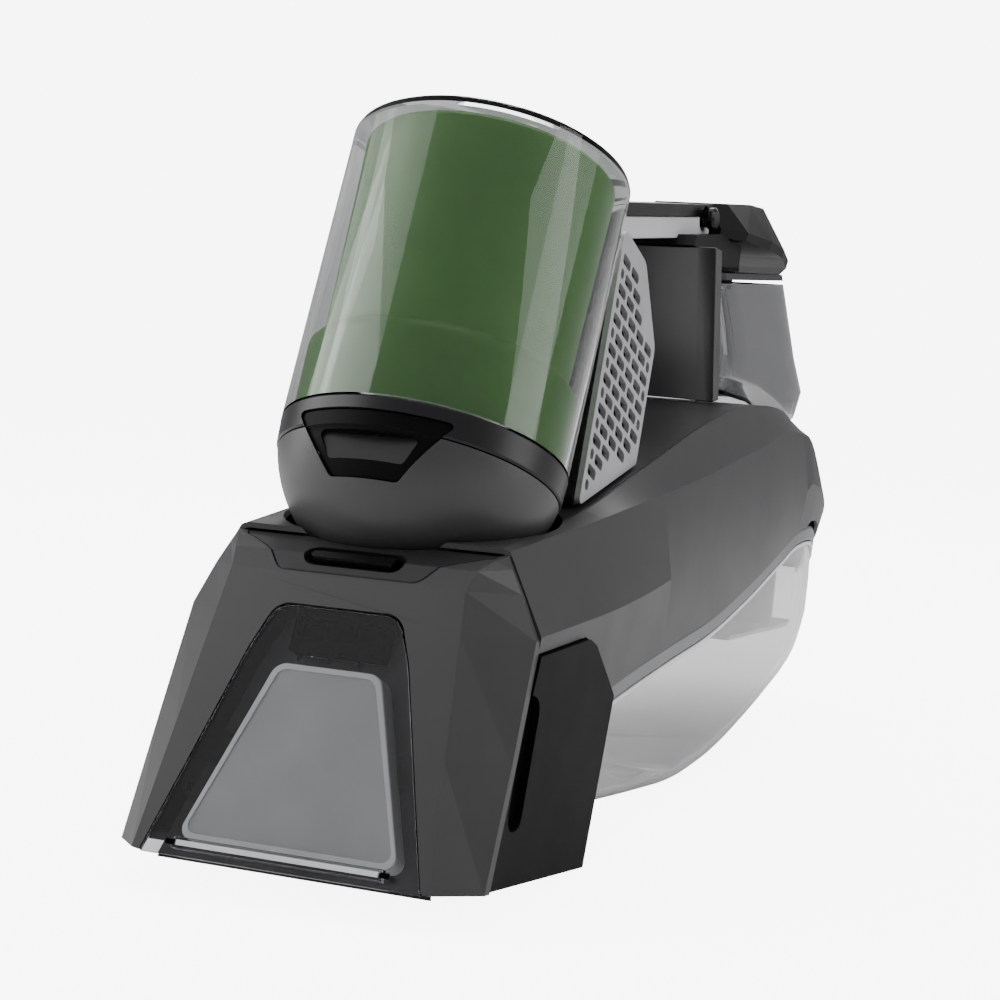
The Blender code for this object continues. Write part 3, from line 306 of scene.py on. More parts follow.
def grid(name, rows, finish, close_start=False, close_end=False, ring=False, parent=MACHINE, matrix=Matrix()):
    """Surface through rows of (x, y, z) points; a ring's rows close on themselves.

    A closed end on open rows joins the row's two halves across the middle.
    """
    bm = bmesh.new()
    net = [[bm.verts.new(P(*point)) for point in row] for row in rows]
    count = len(net[0])
    for row, following in zip(net, net[1:]):
        for i in range(count if ring else count - 1):
            j = (i + 1) % count
            bm.faces.new((row[i], row[j], following[j], following[i]))
    for wanted, row in ((close_start, net[0]), (close_end, net[-1])):
        if wanted and ring:
            bm.faces.new(row)
        elif wanted:
            for i in range(count // 2 - 1):
                bm.faces.new((row[i], row[i + 1], row[count - 2 - i], row[count - 1 - i]))
    bmesh.ops.recalc_face_normals(bm, faces=bm.faces)
    return place(name, to_mesh(name, bm), finish, parent, matrix)


def thicken(obj, thickness, outward=False):
    wall = obj.modifiers.new("wall", "SOLIDIFY")
    wall.thickness = thickness * MM
    wall.offset = 1 if outward else -1
    wall.use_even_offset = True
    return obj


def combine(obj, other, operation):
    step = obj.modifiers.new(operation.lower(), "BOOLEAN")
    step.operation = operation
    step.solver = "EXACT"
    step.object = other
    return obj


def cut(obj, *cutters):
    for cutter in cutters:
        combine(obj, cutter, "DIFFERENCE")
    return obj


def keep(obj, cutter):
    return combine(obj, cutter, "INTERSECT")


def tail_width(y):
    """Half width of the body, rounded off at the tail by a superellipse."""
    if y <= TAIL_START_Y:
        return along(HALF_WIDTH, y)
    reach = min((y - TAIL_START_Y) / TAIL_LENGTH, 1)
    return 44 * (1 - reach ** 2.6) ** (1 / 2.6)


def deck_outline(shrink):
    half = [
        (35.4 - shrink, 5, 0),
        (35.4 - shrink, 236 - shrink, 12),
        (22 - shrink, 262 - shrink, 12),
    ]
    return rounded(mirrored(half), 3)


def window_outline(shrink):
    """Trapezoid in the plane of the front face, with rounded top corners."""
    half = [(39.3 - shrink, -1 + shrink, 0), (22.6 - shrink * 0.9, 56, 12), (17.6 - shrink, 68.4 - shrink, 6)]
    return rounded(mirrored(half), 5)


def body_low(y):
    """Lower edge of the body shells: just over the band of the tank's lid."""
    if y < 33:
        return 42
    return along(TANK_TOP, y) + LID_BAND + 0.5 + (1.6 if y > 262 else 0)


def body_section(y):
    width = tail_width(y)
    tail = width / 44 if y > TAIL_START_Y else 1
    low, high = body_low(y), along(CREASE_LOW, y)
    middle = along(BELT_LINE, y) if y <= TAIL_START_Y else low + (high - low) * 0.5
    half = [
        (width * 0.955, y, low),
        (width, y, middle),
        (along(CREASE_LOW_X, y) * tail, y, high),
        (along(CREASE_HIGH_X, y) * tail, y, along(CREASE_HIGH, y)),
    ]
    return half + [(-x, y, z) for x, y, z in reversed(half)]


def dome_arc(radius, start, end, steps=6):
    """Points (radius, height) on the dome's sphere between two angles below the ring."""
    turns = [radians(start + (end - start) * k / steps) for k in range(steps + 1)]
    return [(radius * cos(turn), -radius * sin(turn)) for turn in turns]


def port_outline(shrink):
    half = [(9.6 - shrink, -21 + shrink, 2), (23 - shrink, -3.8 - shrink, 1)]
    return rounded(mirrored(half), 2)


def pod_side(behind, up):
    """Side-view point (y, z) at a distance behind the pod's axis and a height along it."""
    return (behind * cos(LEAN) + up * sin(LEAN), POD_RING_Z - behind * sin(LEAN) + up * cos(LEAN))


def deck_meet(behind, clearance=0.5):
    """Height along the pod's axis at which a line behind it meets the deck."""
    y0, z0 = pod_side(behind, 0)
    return (95.5 + clearance + DECK_SLOPE * (y0 - 26) - z0) / (cos(LEAN) - DECK_SLOPE * sin(LEAN))


def neck_outline(inset):
    """Side outline of the neck in distances (behind, up) from the pod's ring centre."""
    front, rear = NECK_FRONT + inset, NECK_REAR - inset
    return [
        (front, deck_meet(front) + inset * 1.2, 1.5),
        (rear, deck_meet(rear) + inset * 1.2, 1.5),
        (rear, 68 - inset, 5),
        (56 - inset * 0.4, 87 - inset, 6),
        (front, 87 - inset, 3),
    ]


def side_frame_at(side):
    """Plane of the neck's left or right flank."""
    return frame_at((side * NECK_SIDE, 0, POD_RING_Z), (0, cos(LEAN), -sin(LEAN)),
                 (-side * tan(NECK_TOE), sin(LEAN), cos(LEAN)))


def handle_z(y):
    return 197 + HANDLE_RISE * (y - 118)


# ---------------------------------------------------------------- materials

def node(tree, kind, **inputs):
    made = tree.nodes.new(kind)
    for name, value in inputs.items():
        made.inputs[name.replace("_", " ")].default_value = value
    return made


def surface(name, colour, rough, vary=0.06, spread=0.06, grain=900, bump=0.05, depth=0.00006,
            metallic=0.0, coat=0.0, specular=0.5):
    """Moulded plastic or metal: colour and roughness drift slowly and a fine grain lifts the surface."""
    material = bpy.data.materials.new("sc_" + name)
    material.use_nodes = True
    tree = material.node_tree
    shader = tree.nodes["Principled BSDF"]
    shader.inputs["Metallic"].default_value = metallic
    shader.inputs["Coat Weight"].default_value = coat
    shader.inputs["Specular IOR Level"].default_value = specular
    shader.inputs["Coat Roughness"].default_value = 0.08
    place_of = tree.nodes.new("ShaderNodeTexCoord")
    drift = node(tree, "ShaderNodeTexNoise", Scale=38.0, Detail=4.0, Roughness=0.6)
    fine = node(tree, "ShaderNodeTexNoise", Scale=float(grain), Detail=2.0, Roughness=0.5)
    for texture in (drift, fine):
        tree.links.new(place_of.outputs["Object"], texture.inputs["Vector"])
    tint = tree.nodes.new("ShaderNodeValToRGB")
    tint.color_ramp.elements[0].position = 0.3
    tint.color_ramp.elements[1].position = 0.7
    tint.color_ramp.elements[0].color = (*[c * (1 - vary) for c in colour], 1)
    tint.color_ramp.elements[1].color = (*[c * (1 + vary) for c in colour], 1)
    tree.links.new(drift.outputs["Fac"], tint.inputs["Fac"])
    tree.links.new(tint.outputs["Color"], shader.inputs["Base Color"])
    dull = tree.nodes.new("ShaderNodeMapRange")
    dull.inputs["To Min"].default_value = max(rough - spread, 0.0)
    dull.inputs["To Max"].default_value = rough + spread
    tree.links.new(drift.outputs["Fac"], dull.inputs["Value"])
    tree.links.new(dull.outputs["Result"], shader.inputs["Roughness"])
    lift = node(tree, "ShaderNodeBump", Strength=bump, Distance=depth)
    tree.links.new(fine.outputs["Fac"], lift.inputs["Height"])
    tree.links.new(lift.outputs["Normal"], shader.inputs["Normal"])
    material.diffuse_color = (*colour, 1)
    return material


def clear(name, colour, rough=0.03, ior=1.47, bump=0.02):
    """Transparent moulding with faint flow waves."""
    material = surface(name, colour, rough, 0.01, 0.01, 60, bump, 0.0002)
    shader = material.node_tree.nodes["Principled BSDF"]
    shader.inputs["Transmission Weight"].default_value = 1.0
    shader.inputs["IOR"].default_value = ior
    return material


LOOK = {
    "shell_grey": surface("shell_grey", (0.030, 0.030, 0.031), 0.42, grain=1500, bump=0.10, specular=0.4),
    "deck_grey": surface("deck_grey", (0.015, 0.015, 0.016), 0.38, grain=1500, bump=0.08, specular=0.4),
    "panel_black": surface("panel_black", (0.003, 0.003, 0.003), 0.50, grain=1100, bump=0.22, specular=0.06),
    # Near-black, almost unreflective look: painted shade for the recess floors, the suction mouth and the
    # window lip's ends, darker than their own black plastic.
    "painted_shade_black": surface("painted_shade_black", (0.0008, 0.0008, 0.0008), 0.70, bump=0.05, specular=0.02),
    "gloss_black": surface("gloss_black", (0.003, 0.003, 0.003), 0.24, bump=0.02, specular=0.22),
    "handle_grey": surface("handle_grey", (0.50, 0.50, 0.51), 0.50, bump=0.03, specular=0.3),
    "column_grey": surface("column_grey", (0.026, 0.026, 0.027), 0.26, bump=0.03, specular=0.5),
    # Dark grey for the duct plate in place of its light grey: painted shade for the tray's depth behind the
    # window.
    "tray_painted_shade": surface("tray_painted_shade", (0.034, 0.034, 0.035), 0.35, bump=0.0, specular=0.2),
    "plateau_grey": surface("plateau_grey", (0.36, 0.36, 0.365), 0.42, bump=0.03),
    # Light grey ring on the plateau's edge: a painted highlight where the raised edge catches light.
    "plateau_edge_highlight": surface("plateau_edge_highlight", (0.62, 0.62, 0.63), 0.30, bump=0.02),
    "dome_grey": surface("dome_grey", (0.046, 0.046, 0.047), 0.40, grain=1500, bump=0.08, specular=0.4),
    "trim_grey": surface("trim_grey", (0.007, 0.007, 0.008), 0.34, grain=1500, bump=0.04, specular=0.3),
    "cap_black": surface("cap_black", (0.004, 0.004, 0.004), 0.42, bump=0.02, specular=0.12),
    "green": surface("green", (0.040, 0.122, 0.018), 0.45, bump=0.05, specular=0.2),
    "clear": clear("clear", (0.93, 0.94, 0.95), 0.0, 1.40, 0),
    "clear_cover": clear("clear_cover", (0.97, 0.98, 0.98), 0.0, 1.30, 0),
    "clear_tank": clear("clear_tank", (0.93, 0.935, 0.94), 0.0, 1.42, 0),
    "clear_smoke": clear("clear_smoke", (0.46, 0.465, 0.47), 0.0, 1.42, 0),
    # Light glossy look painted along clear edges: painted highlight lines on the dirty tank's rim and the
    # window lip.
    "clear_edge_highlight": surface("clear_edge_highlight", (0.62, 0.63, 0.64), 0.16, bump=0.0, coat=0.4),
    "light_grey": surface("light_grey", (0.22, 0.225, 0.23), 0.34),
    "lid_grey": surface("lid_grey", (0.10, 0.105, 0.11), 0.34),
    "silver": surface("silver", (0.46, 0.46, 0.47), 0.36, metallic=0.5, grain=1400, bump=0.08),
    "black_plastic": surface("black_plastic", (0.005, 0.005, 0.006), 0.42, grain=1100, bump=0.14,
                             specular=0.35),
    "steel": surface("steel", (0.55, 0.55, 0.56), 0.26, metallic=1.0, grain=600, bump=0.06),
    "rubber": surface("rubber", (0.008, 0.008, 0.008), 0.75, grain=700, bump=0.3),
    "bristle": surface("bristle", (0.02, 0.02, 0.02), 0.6, grain=600, bump=0.3),
    "board": surface("board", (0.01, 0.06, 0.02), 0.45),
    "cell_blue": surface("cell_blue", (0.02, 0.05, 0.18), 0.32),
}
# Looks in place of a node's slot: the duct plate and the clean tank's lid are painted dark as painted shade,
# in the recess behind the window and in the gap under the cap.
OWN_LOOK_AND_PAINTED_SHADE = {"duct_plate": "tray_painted_shade", "trigger": "gloss_black", "rear_cap": "cap_black",
            "latch_tray": "panel_black", "clean_tank_lid": "deck_grey"}


# ---------------------------------------------------------------- carried-over CAD nodes

def dress(obj, finish, bevel=0.35, angle=28):
    """Gives a carried-over node its material, soft edges and smooth round faces."""
    obj.data.materials.clear()
    obj.data.materials.append(LOOK[finish])
    obj.data.shade_smooth()
    obj.data.set_sharp_from_angle(angle=radians(angle))
    if bevel:
        flat = obj.modifiers.new("flat faces", "DECIMATE")
        flat.decimate_type = "DISSOLVE"
        flat.angle_limit = radians(0.6)
        edge = obj.modifiers.new("edges", "BEVEL")
        edge.width = bevel * MM
        edge.segments = 2
        edge.limit_method = "ANGLE"
        edge.angle_limit = radians(angle)
        edge.harden_normals = True


SOFTER = {
    "nozzle_shell": 1.0, "side_panel_left": 0.5, "side_panel_right": 0.5, "rear_cap": 0.9, "rear_column": 0.5,
    "neck_housing": 0.6, "tank_feet": 0.4,
}
SLOTS = {entry["node"]: entry["material_slot"] for entry in frame["record"]["subparts"]}
for name, part in frame["nodes"].items():
    slot_name = SLOTS[name]
    dress(part, OWN_LOOK_AND_PAINTED_SHADE.get(name, slot_name), SOFTER.get(name, 0.3), 38 if name == "nozzle_shell" else 28)


# ---------------------------------------------------------------- detailed pieces

def piece(obj, name, body, finish, slot, *nodes, bevel=0, angle=28, segments=2, subdivide=0):
    """Bakes a built shape into one mesh in the row frame that rides on a body and stands for CAD nodes."""
    graph = bpy.context.evaluated_depsgraph_get()
    mesh = bpy.data.meshes.new_from_object(obj.evaluated_get(graph))
    mesh.transform(obj.matrix_world)
    mesh.materials.clear()
    mesh.materials.append(LOOK[finish])
    made = bpy.data.objects.new(name, mesh)
    bpy.context.scene.collection.objects.link(made)
    mesh.shade_smooth()
    mesh.set_sharp_from_angle(angle=radians(angle))
    if bevel:
        edge = made.modifiers.new("edges", "BEVEL")
        edge.width = bevel * MM
        edge.segments = segments
        edge.limit_method = "ANGLE"
        edge.angle_limit = radians(angle)
        edge.harden_normals = True
    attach(made, body)
    if nodes:
        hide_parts(*nodes)
    return made


def clear_workshop():
    for group in (PARTS, CUTTERS):
        for obj in list(group.objects):
            bpy.data.objects.remove(obj, do_unlink=True)


# ---- pod
ROUND = 128


def make_pod():
    cover = [(0, POD_LENGTH), (37.4, POD_LENGTH), (38.6, POD_LENGTH - 0.2), (39.5, POD_LENGTH - 0.8),
             (POD_RADIUS, POD_LENGTH - 1.9), (POD_RADIUS, GAP), (38.4, GAP), (38.4, POD_LENGTH - 3.2),
             (37.6, POD_LENGTH - 1.9), (36.6, POD_LENGTH - 1.4), (0, POD_LENGTH - 1.4)]
    piece(turned("w", cover, None, POD, Matrix(), ROUND, False), "pod_cover_clear", "machine",
          "clear_cover", "clear", "pod_clear_cover")
    liner = [(0, 86.6), (31.0, 86.6), (32.8, 86.0), (33.9, 84.8), (34.3, 83), (34.2, 26),
             (34.5, 24.6), (36.2, 23.0),
             (37.2, 21.6), (37.5, 20), (37.5, 0.6), (35.8, 0.6), (35.8, 19), (32.7, 24.3), (32.7, 82.6),
             (31, 85), (0, 85)]
    piece(turned("w", liner, None, POD, Matrix(), ROUND, False), "pod_inner_green", "machine",
          "green", "green", "pod_green_housing")
    band = [(39.6, 0), (POD_RADIUS, -0.5), (39.6, -7.4), (39.2, -RING_HEIGHT), (37, -RING_HEIGHT), (37, 0)]
    trim = turned("w", band, None, POD, Matrix(), ROUND)
    bowl = dome_arc(POD_RADIUS, 12, 88, 28) + dome_arc(POD_RADIUS - 2.2, 88, 12.8, 20)
    dome = turned("w", bowl, None, POD, Matrix(), ROUND)
    for obj in (trim, dome):
        cut(obj, plate("c", [port_outline(0)], 0, 60, None, PORT_PLANE, POD))
    piece(trim, "pod_ring_band", "machine", "trim_grey", "deck_grey", "pod_trim_ring", bevel=0.3)
    piece(dome, "pod_ball_end", "machine", "dome_grey", "dome_grey", "pod_dome", bevel=0.3)
    front = [(39.2, -2.6), (38.8, -RING_HEIGHT)] + dome_arc(39.2, 13, 33, 10) + dome_arc(36.4, 33, 13, 10)
    front += [(36.4, -2.6)]
    bezel = turned("w", front, None, POD, Matrix(), ROUND)
    keep(bezel, plate("c", [port_outline(0.35)], 0, 60, None, PORT_PLANE, POD))
    hollow = rounded(mirrored([(10.6, -16.4, 2), (14.6, -9.2, 1.2)]), 4)
    cut(bezel, plate("c", [hollow], 0, 60, None, PORT_PLANE, POD))
    piece(bezel, "port_frame", "machine", "panel_black", "panel_black", "port_bezel", bevel=0.35, segments=3)
    floor_outline = rounded(mirrored([(10.4, -16.6, 2), (15.0, -9.0, 1.2)]), 3)
    back = plate("w", [floor_outline], 33.4, 34.2, None, PORT_PLANE, POD)
    piece(back, "port_floor", "machine", "black_plastic", "black_plastic", bevel=0.2)
    clear_workshop()


# ---- body
def fine_stations(lines):
    stations = []
    for a, b in zip(lines, lines[1:]):
        steps = max(1, int((b - a) / 6))
        stations += [a + (b - a) * k / steps for k in range(steps)]
    return stations + [lines[-1]]


def make_body():
    stations = fine_stations([BODY_FRONT_Y, -1, 26, 56, 103, 154, 208, 246])
    stations += [252, 258, 264, 270, 276, 282, 287, 292, 297, 301, 305, 309, 312, 315, 318, 320.4, 321.4]
    panel_edge = [(-60, -10), (-60, 58.7), (-29, 58.7), (8.5, 63.1), (14.2, 61.5), (33.1, 47.2), (20, -10)]
    for side, name in ((1, "right"), (-1, "left")):
        skin = thicken(grid("w", [body_section(y) for y in stations], None, close_end=True), 1.4)
        keep(skin, block("c", (80, 500, 400), (side * 40.05, 150, 60), None))
        keep(skin, block("c", (140, 400, 400), (0, SEAM_Y + GAP / 2 + 200, 60), None))
        cut(skin, plate("c", [panel_edge], -70, 70, None, SIDE_PLANE),
            plate("c", [deck_outline(0)], 60, 170, None),
            dense_ball(SEAT_RADIUS, (0, 0, POD_RING_Z)),
            block("c", (16.6, 14, 7), (0, 320.4, 98.6), None))
        piece(skin, "body_side_" + name, "machine", "shell_grey", "shell_grey", "body_shell_" + name,
              bevel=0.55, angle=16, segments=3)
    deck = thicken(grid("w", [body_section(y) for y in stations], None, close_end=True), 1.4)
    keep(deck, plate("c", [deck_outline(0.25)], 60, 170, None))
    cut(deck, dense_ball(SEAT_RADIUS, (0, 0, POD_RING_Z)), block("c", (40, 20, 40), (0, 60, 105), None))
    piece(deck, "body_top_deck", "machine", "deck_grey", "deck_grey", "body_deck",
          bevel=0.4, angle=16, segments=3)
    clear_workshop()


def dense_ball(radius, centre):
    bm = bmesh.new()
    bmesh.ops.create_uvsphere(bm, u_segments=96, v_segments=48, radius=radius * MM,
                              matrix=Matrix.Translation(P(*centre)))
    return place("ball", to_mesh("ball", bm), None)


# ---- dirty tank
def fine_tank(y, low, high, inset):
    """Cross section of the tub with a rounded turn of the wall into the floor."""
    width = tail_width(y) * 0.905 - inset
    rise = high - low
    half = [(width, y, high), (width + 0.5, y, high - 0.3 * rise), (width + 0.3, y, low + 0.4 * rise),
            (width - 0.6, y, low + 0.24 * rise + 1.0)]
    corner_x, corner_z = max(width - 8.5, width * 0.58), low
    for k in range(1, 6):
        turn = pi / 2 * k / 6
        half.append((corner_x + (width - 1.2 - corner_x) * cos(turn), y,
                     corner_z + (0.2 * rise + 0.8) * (1 - sin(turn))))
    half.append((corner_x, y, corner_z))
    return half + [(-x, y, z) for x, y, z in reversed(half)]


def make_dirty_tank():
    stations = fine_stations([TANK_FRONT_Y, 66, 128, 193, 233, 251, 268, 285, 295, 303, 308.5, TANK_REAR_Y])
    rows = [fine_tank(y, along(TANK_BOTTOM, y), along(TANK_TOP, y), 0) for y in stations]
    tub = thicken(grid("w", rows, None, close_start=True, close_end=True), 2.2)
    piece(tub, "dirty_tank_tub", "dirty_tank_unit", "clear_tank", "clear", "dirty_tank",
          bevel=0.5, angle=40, segments=2)
    # Light glossy strips along the tub's top edge: painted highlight lines at the rim of the clear wall.
    edge_highlight_rows = []
    for y in stations:
        width = tail_width(y) * 0.905 + 0.9
        top = along(TANK_TOP, y)
        edge_highlight_rows.append([(width, y, top - 1.5), (width, y, top - 0.1), (width - 1.2, y, top - 0.1),
                       (width - 1.2, y, top - 1.5)])
    for sign, name in ((1, "right"), (-1, "left")):
        rows = [[(sign * x, y, z) for x, y, z in row] for row in edge_highlight_rows]
        piece(grid("w", rows, None, close_start=True, close_end=True, ring=True), "tank_edge_highlight_" + name,
              "dirty_tank_unit", "clear_edge_highlight", "clear", bevel=0.25)
    rings = []
    for y in stations:
        width = tail_width(y) * 0.918
        top = along(TANK_TOP, y)
        half = [(width, y, top + GAP), (width + 0.5, y, top + 1.0),
                (width + 0.5, y, top + LID_BAND - 0.8), (width, y, top + LID_BAND)]
        rings.append(half + [(-x, at, z) for x, at, z in reversed(half)])
    lid = grid("w", rings, None, close_start=True, close_end=True, ring=True)
    cut(lid, block("c", (31.2, 17.6, 40), (0, 65.9, 52), None), rod("c", 8, 40, (0, 112, 60), None, sides=40))
    piece(lid, "dirty_tank_lid_band", "dirty_tank_unit", "lid_grey", "light_grey", "tank_lid",
          bevel=0.3, angle=30)
    rows = []
    for y in fine_stations([188, 232, 252, 270, 284]):
        half = tail_width(y) * 0.905 - 6
        z = 60 + 0.06 * (y - 188)
        rows.append([(half, y, z), (half, y, z + 1.6), (-half, y, z + 1.6), (-half, y, z)])
    piece(grid("w", rows, None, close_start=True, close_end=True, ring=True), "tank_baffle_shelf",
          "dirty_tank_unit", "light_grey", "light_grey", bevel=0.3)
    wall = plate("w", [[(251, 62.8), (253, 62.8), (253, 92.5), (251, 91.8)]], -32, 32, None, SIDE_PLANE)
    piece(wall, "tank_baffle_wall", "dirty_tank_unit", "light_grey", "light_grey", bevel=0.3)
    clear_workshop()


# ---- clean tank
CLEAN_LEVELS = [(177.2, 262.5, 24.2, 180.3, 0), (183, 280, 26.6, 165.5, 0.02), (184.8, 291, 27.8, 157, 0.07),
                (187.2, 286, 27, 149.5, 0.13), (190, 274, 23.5, 143.9, 0.17)]
FALL_Y = 232


def clean_section(u):
    """Section of the clean tank at a share u of its length, with round vertical corners."""
    reach = min(u, 1 - u) / 0.09
    ease = 5 * (1 - sqrt(1 - (1 - reach) ** 2)) if reach < 1 else 0
    half = []
    for k, (front, rear, width, height, fall) in enumerate(CLEAN_LEVELS):
        y = front + u * (rear - front)
        rise = SLIDE_RISE * (y - 180) if k == 0 else 0
        half.append((width - ease, y, height + rise - fall * max(y - FALL_Y, 0)))
    return half + [(-x, y, z) for x, y, z in reversed(half)]


def make_clean_tank():
    shares = (0, 0.012, 0.03, 0.055, 0.09, 0.25, 0.42, 0.58, 0.74, 0.9, 0.945, 0.97, 0.988, 1)
    sections = [clean_section(u) for u in shares]
    shell = thicken(grid("w", sections, None, close_start=True, close_end=True), 1.9)
    piece(shell, "clean_tank_tub", "clean_tank_unit", "clear_smoke", "clear", "clean_tank",
          bevel=0.4, angle=24, segments=2)
    clear_workshop()


# ---- head window
def make_window():
    """Clear cover, a tray behind it painted dark as painted shade, and the grey plateau with a light rim that
    is a painted highlight.
    """
    pane = plate("w", [window_outline(0.5)], -1.5, 0, None, FACE_PLANE)
    combine(pane, block("c", (58, 3.0, 2.4), (0, 2.6, 1.0), None, MACHINE, FACE_PLANE), "UNION")
    piece(pane, "window_pane_clear", "front_window", "clear", "clear", "nozzle_window",
          bevel=0.35, segments=3)
    # The lip's light glossy bar is a painted highlight, and its near-black ends are painted shade in the
    # lip's corners.
    for low, high, finish, name in (
        (-28, 28, "clear_edge_highlight", "window_lip_highlight"),
        (-31, -28.4, "painted_shade_black", "window_lip_end_left"),
        (28.4, 31, "painted_shade_black", "window_lip_end_right"),
    ):
        bar = plate("w", [[(low, 1.9), (high, 1.9), (high, 3.3), (low, 3.3)]], 1.9, 2.3, None, FACE_PLANE)
        piece(bar, name, "front_window", finish, "clear", bevel=0.15)
    # The tray is painted dark: painted shade for its depth behind the raised plateau.
    tray = plate("w", [window_outline(1.0)], -9.6, -8.8, None, FACE_PLANE)
    mouth_hole = [(-13.4, 56.8), (13.4, 56.8), (13.4, 66.2), (-13.4, 66.2)]
    cut(tray, plate("c", [mouth_hole], -12, 2, None, FACE_PLANE))
    piece(tray, "duct_tray_painted_shade", "machine", "tray_painted_shade", "light_grey", "duct_plate", bevel=0.2)
    raised = rounded(mirrored([(31, 4.4, 3), (14.8, 53, 4.5)]), 8)
    plateau = plate("w", [raised], -8.7, -3.0, None, FACE_PLANE)
    piece(plateau, "duct_plateau", "machine", "plateau_grey", "light_grey", bevel=1.0, segments=4)
    # A thin light ring round the plateau: painted highlight on its raised edge.
    outer = rounded(mirrored([(30.8, 4.6, 3), (14.6, 52.8, 4.5)]), 8)
    inner = rounded(mirrored([(29.2, 6.1, 2.4), (13.4, 51.4, 3.6)]), 8)
    plateau_highlight = plate("w", [outer, inner], -2.98, -2.6, None, FACE_PLANE)
    piece(plateau_highlight, "duct_plateau_edge_highlight", "machine", "plateau_edge_highlight", "light_grey", bevel=0.12)
    openings = [[(x - 3.7, 60.6), (x + 3.7, 60.6), (x + 3.7, 65.4), (x - 3.7, 65.4)] for x in (-8.6, 0, 8.6)]
    surround = [(-13.3, 56.9), (13.3, 56.9), (13.3, 66.1), (-13.3, 66.1)]
    # The mouth's frame, back plate and teeth are painted near-black: painted shade for the dark deep in the
    # duct.
    mouth = plate("w", [surround] + openings, -8.4, -4.2, None, FACE_PLANE)
    piece(mouth, "suction_mouth_frame", "machine", "painted_shade_black", "black_plastic", "suction_mouth",
          bevel=0.25)
    back = plate("w", [[(-13.2, 57), (13.2, 57), (13.2, 66), (-13.2, 66)]], -9.0, -8.6, None, FACE_PLANE)
    piece(back, "suction_mouth_back", "machine", "painted_shade_black", "black_plastic")
    for k in (-1, 0, 1):
        tooth = [(k * 8.6 - 1.8, 58.4), (k * 8.6 + 1.8, 58.4), (k * 8.6 + 1.0, 56.6), (k * 8.6 - 0.9, 54.0)]
        piece(plate("w", [tooth], -4.1, -3.0, None, FACE_PLANE), "suction_tooth_%d" % (k + 2), "machine",
              "painted_shade_black", "black_plastic", bevel=0.15)
    clear_workshop()


# ---- handle, cap and column
def make_handle():
    def bar(high, low, half_width, start):
        ends = (start, HANDLE_END_Y)
        outline = [(ends[0], handle_z(ends[0]) - low), (ends[1], handle_z(ends[1]) - low),
                   (ends[1], handle_z(ends[1]) - high), (ends[0], handle_z(ends[0]) - high)]
        return plate("w", [outline], -half_width, half_width, None, SIDE_PLANE)

    rise = frame_at((0, 0, 0), (1, 0, 0), (0, 1, HANDLE_RISE))
    top = bar(0, 4.2, HANDLE_HALF_WIDTH, HANDLE_START_Y)
    for y, radius in ((82, 4.6), (98, 5.6)):
        spot = Matrix.Translation(P(0, y, handle_z(y))) @ rise
        cut(top, rod("c", radius + 0.3, 9.6, (0, 0, 0), None, "Z", MACHINE, 48, None, spot))
    knob = rod("c", 4.3, 6, (10.6, 196, handle_z(196) - 5), None, "X", sides=40)
    cut(top, knob)
    piece(top, "handle_top_bar", "machine", "gloss_black", "gloss_black", "handle_top", bevel=1.5, segments=4)
    grip = bar(4.4, 11.6, 10.3, HANDLE_START_Y + 5.6)
    knob = rod("c", 4.3, 6, (10.6, 196, handle_z(196) - 5), None, "X", sides=40)
    cut(grip, knob)
    piece(grip, "handle_grip_strip", "machine", "handle_grey", "light_grey", bevel=1.6, segments=4)
    column = [(180.4, 139.8), (186.6, 141.1), (173.6, 190.6), (166.6, 190.6)]
    wall = plate("w", [column], -25, 25, None, SIDE_PLANE)
    lean = Matrix.Translation(P(0, 173.5, 165)) @ Matrix.Rotation(REAR, 4, "X")
    cut(wall, rod("c", 70, 90, (0, -66.6, 0), None, "Z", MACHINE, 240, None, lean))
    piece(wall, "rear_column_face", "machine", "column_grey", "deck_grey", "rear_column",
          bevel=0.5, segments=3)
    clear_workshop()


# ---- recess floors of the side panels, painted near-black as painted shade in the finger recesses
def make_recesses():
    finger = [(-41, 13, 4), (-31, 15, 4), (-24.5, 47, 4), (-34.5, 49.5, 4)]
    for side, name in ((1, "right"), (-1, "left")):
        low, high = (48.02, 48.3) if side > 0 else (-48.3, -48.02)
        floor_plate = plate("w", [rounded(finger, 5)], low, high, None, SIDE_PLANE)
        piece(floor_plate, "panel_recess_" + name, "machine", "painted_shade_black", "panel_black")
    clear_workshop()


# ---- exhaust grilles
def brick_slots():
    """Brick pattern of rounded slots inside the neck's outline."""
    slots = []
    low_left, low_right, high_right, high_mid, high_left = [c[:2] for c in neck_outline(2.6)]
    row, up = 0, 1.6
    while up < 84:
        behind = NECK_FRONT + 2.8 + (4.4 if row % 2 else 0) - 8.8
        while behind < NECK_REAR - 2:
            near, far = max(behind, low_left[0] + 0.2), min(behind + 7.2, high_right[0] - 0.2)
            behind += 8.8
            if far - near < 2.4:
                continue
            slope = (low_right[1] - low_left[1]) / (low_right[0] - low_left[0])
            floor = low_left[1] + slope * (far - low_left[0])
            slope = (high_right[1] - high_mid[1]) / (high_right[0] - high_mid[0])
            roof = min(high_left[1], high_mid[1] + slope * max(far - high_mid[0], 0))
            if up > floor and up + 3.2 < roof:
                corners = [(near, up, 1.1), (far, up, 1.1), (far, up + 3.2, 1.1), (near, up + 3.2, 1.1)]
                slots.append(rounded(corners, 3))
        up += 4.7
        row += 1
    return slots


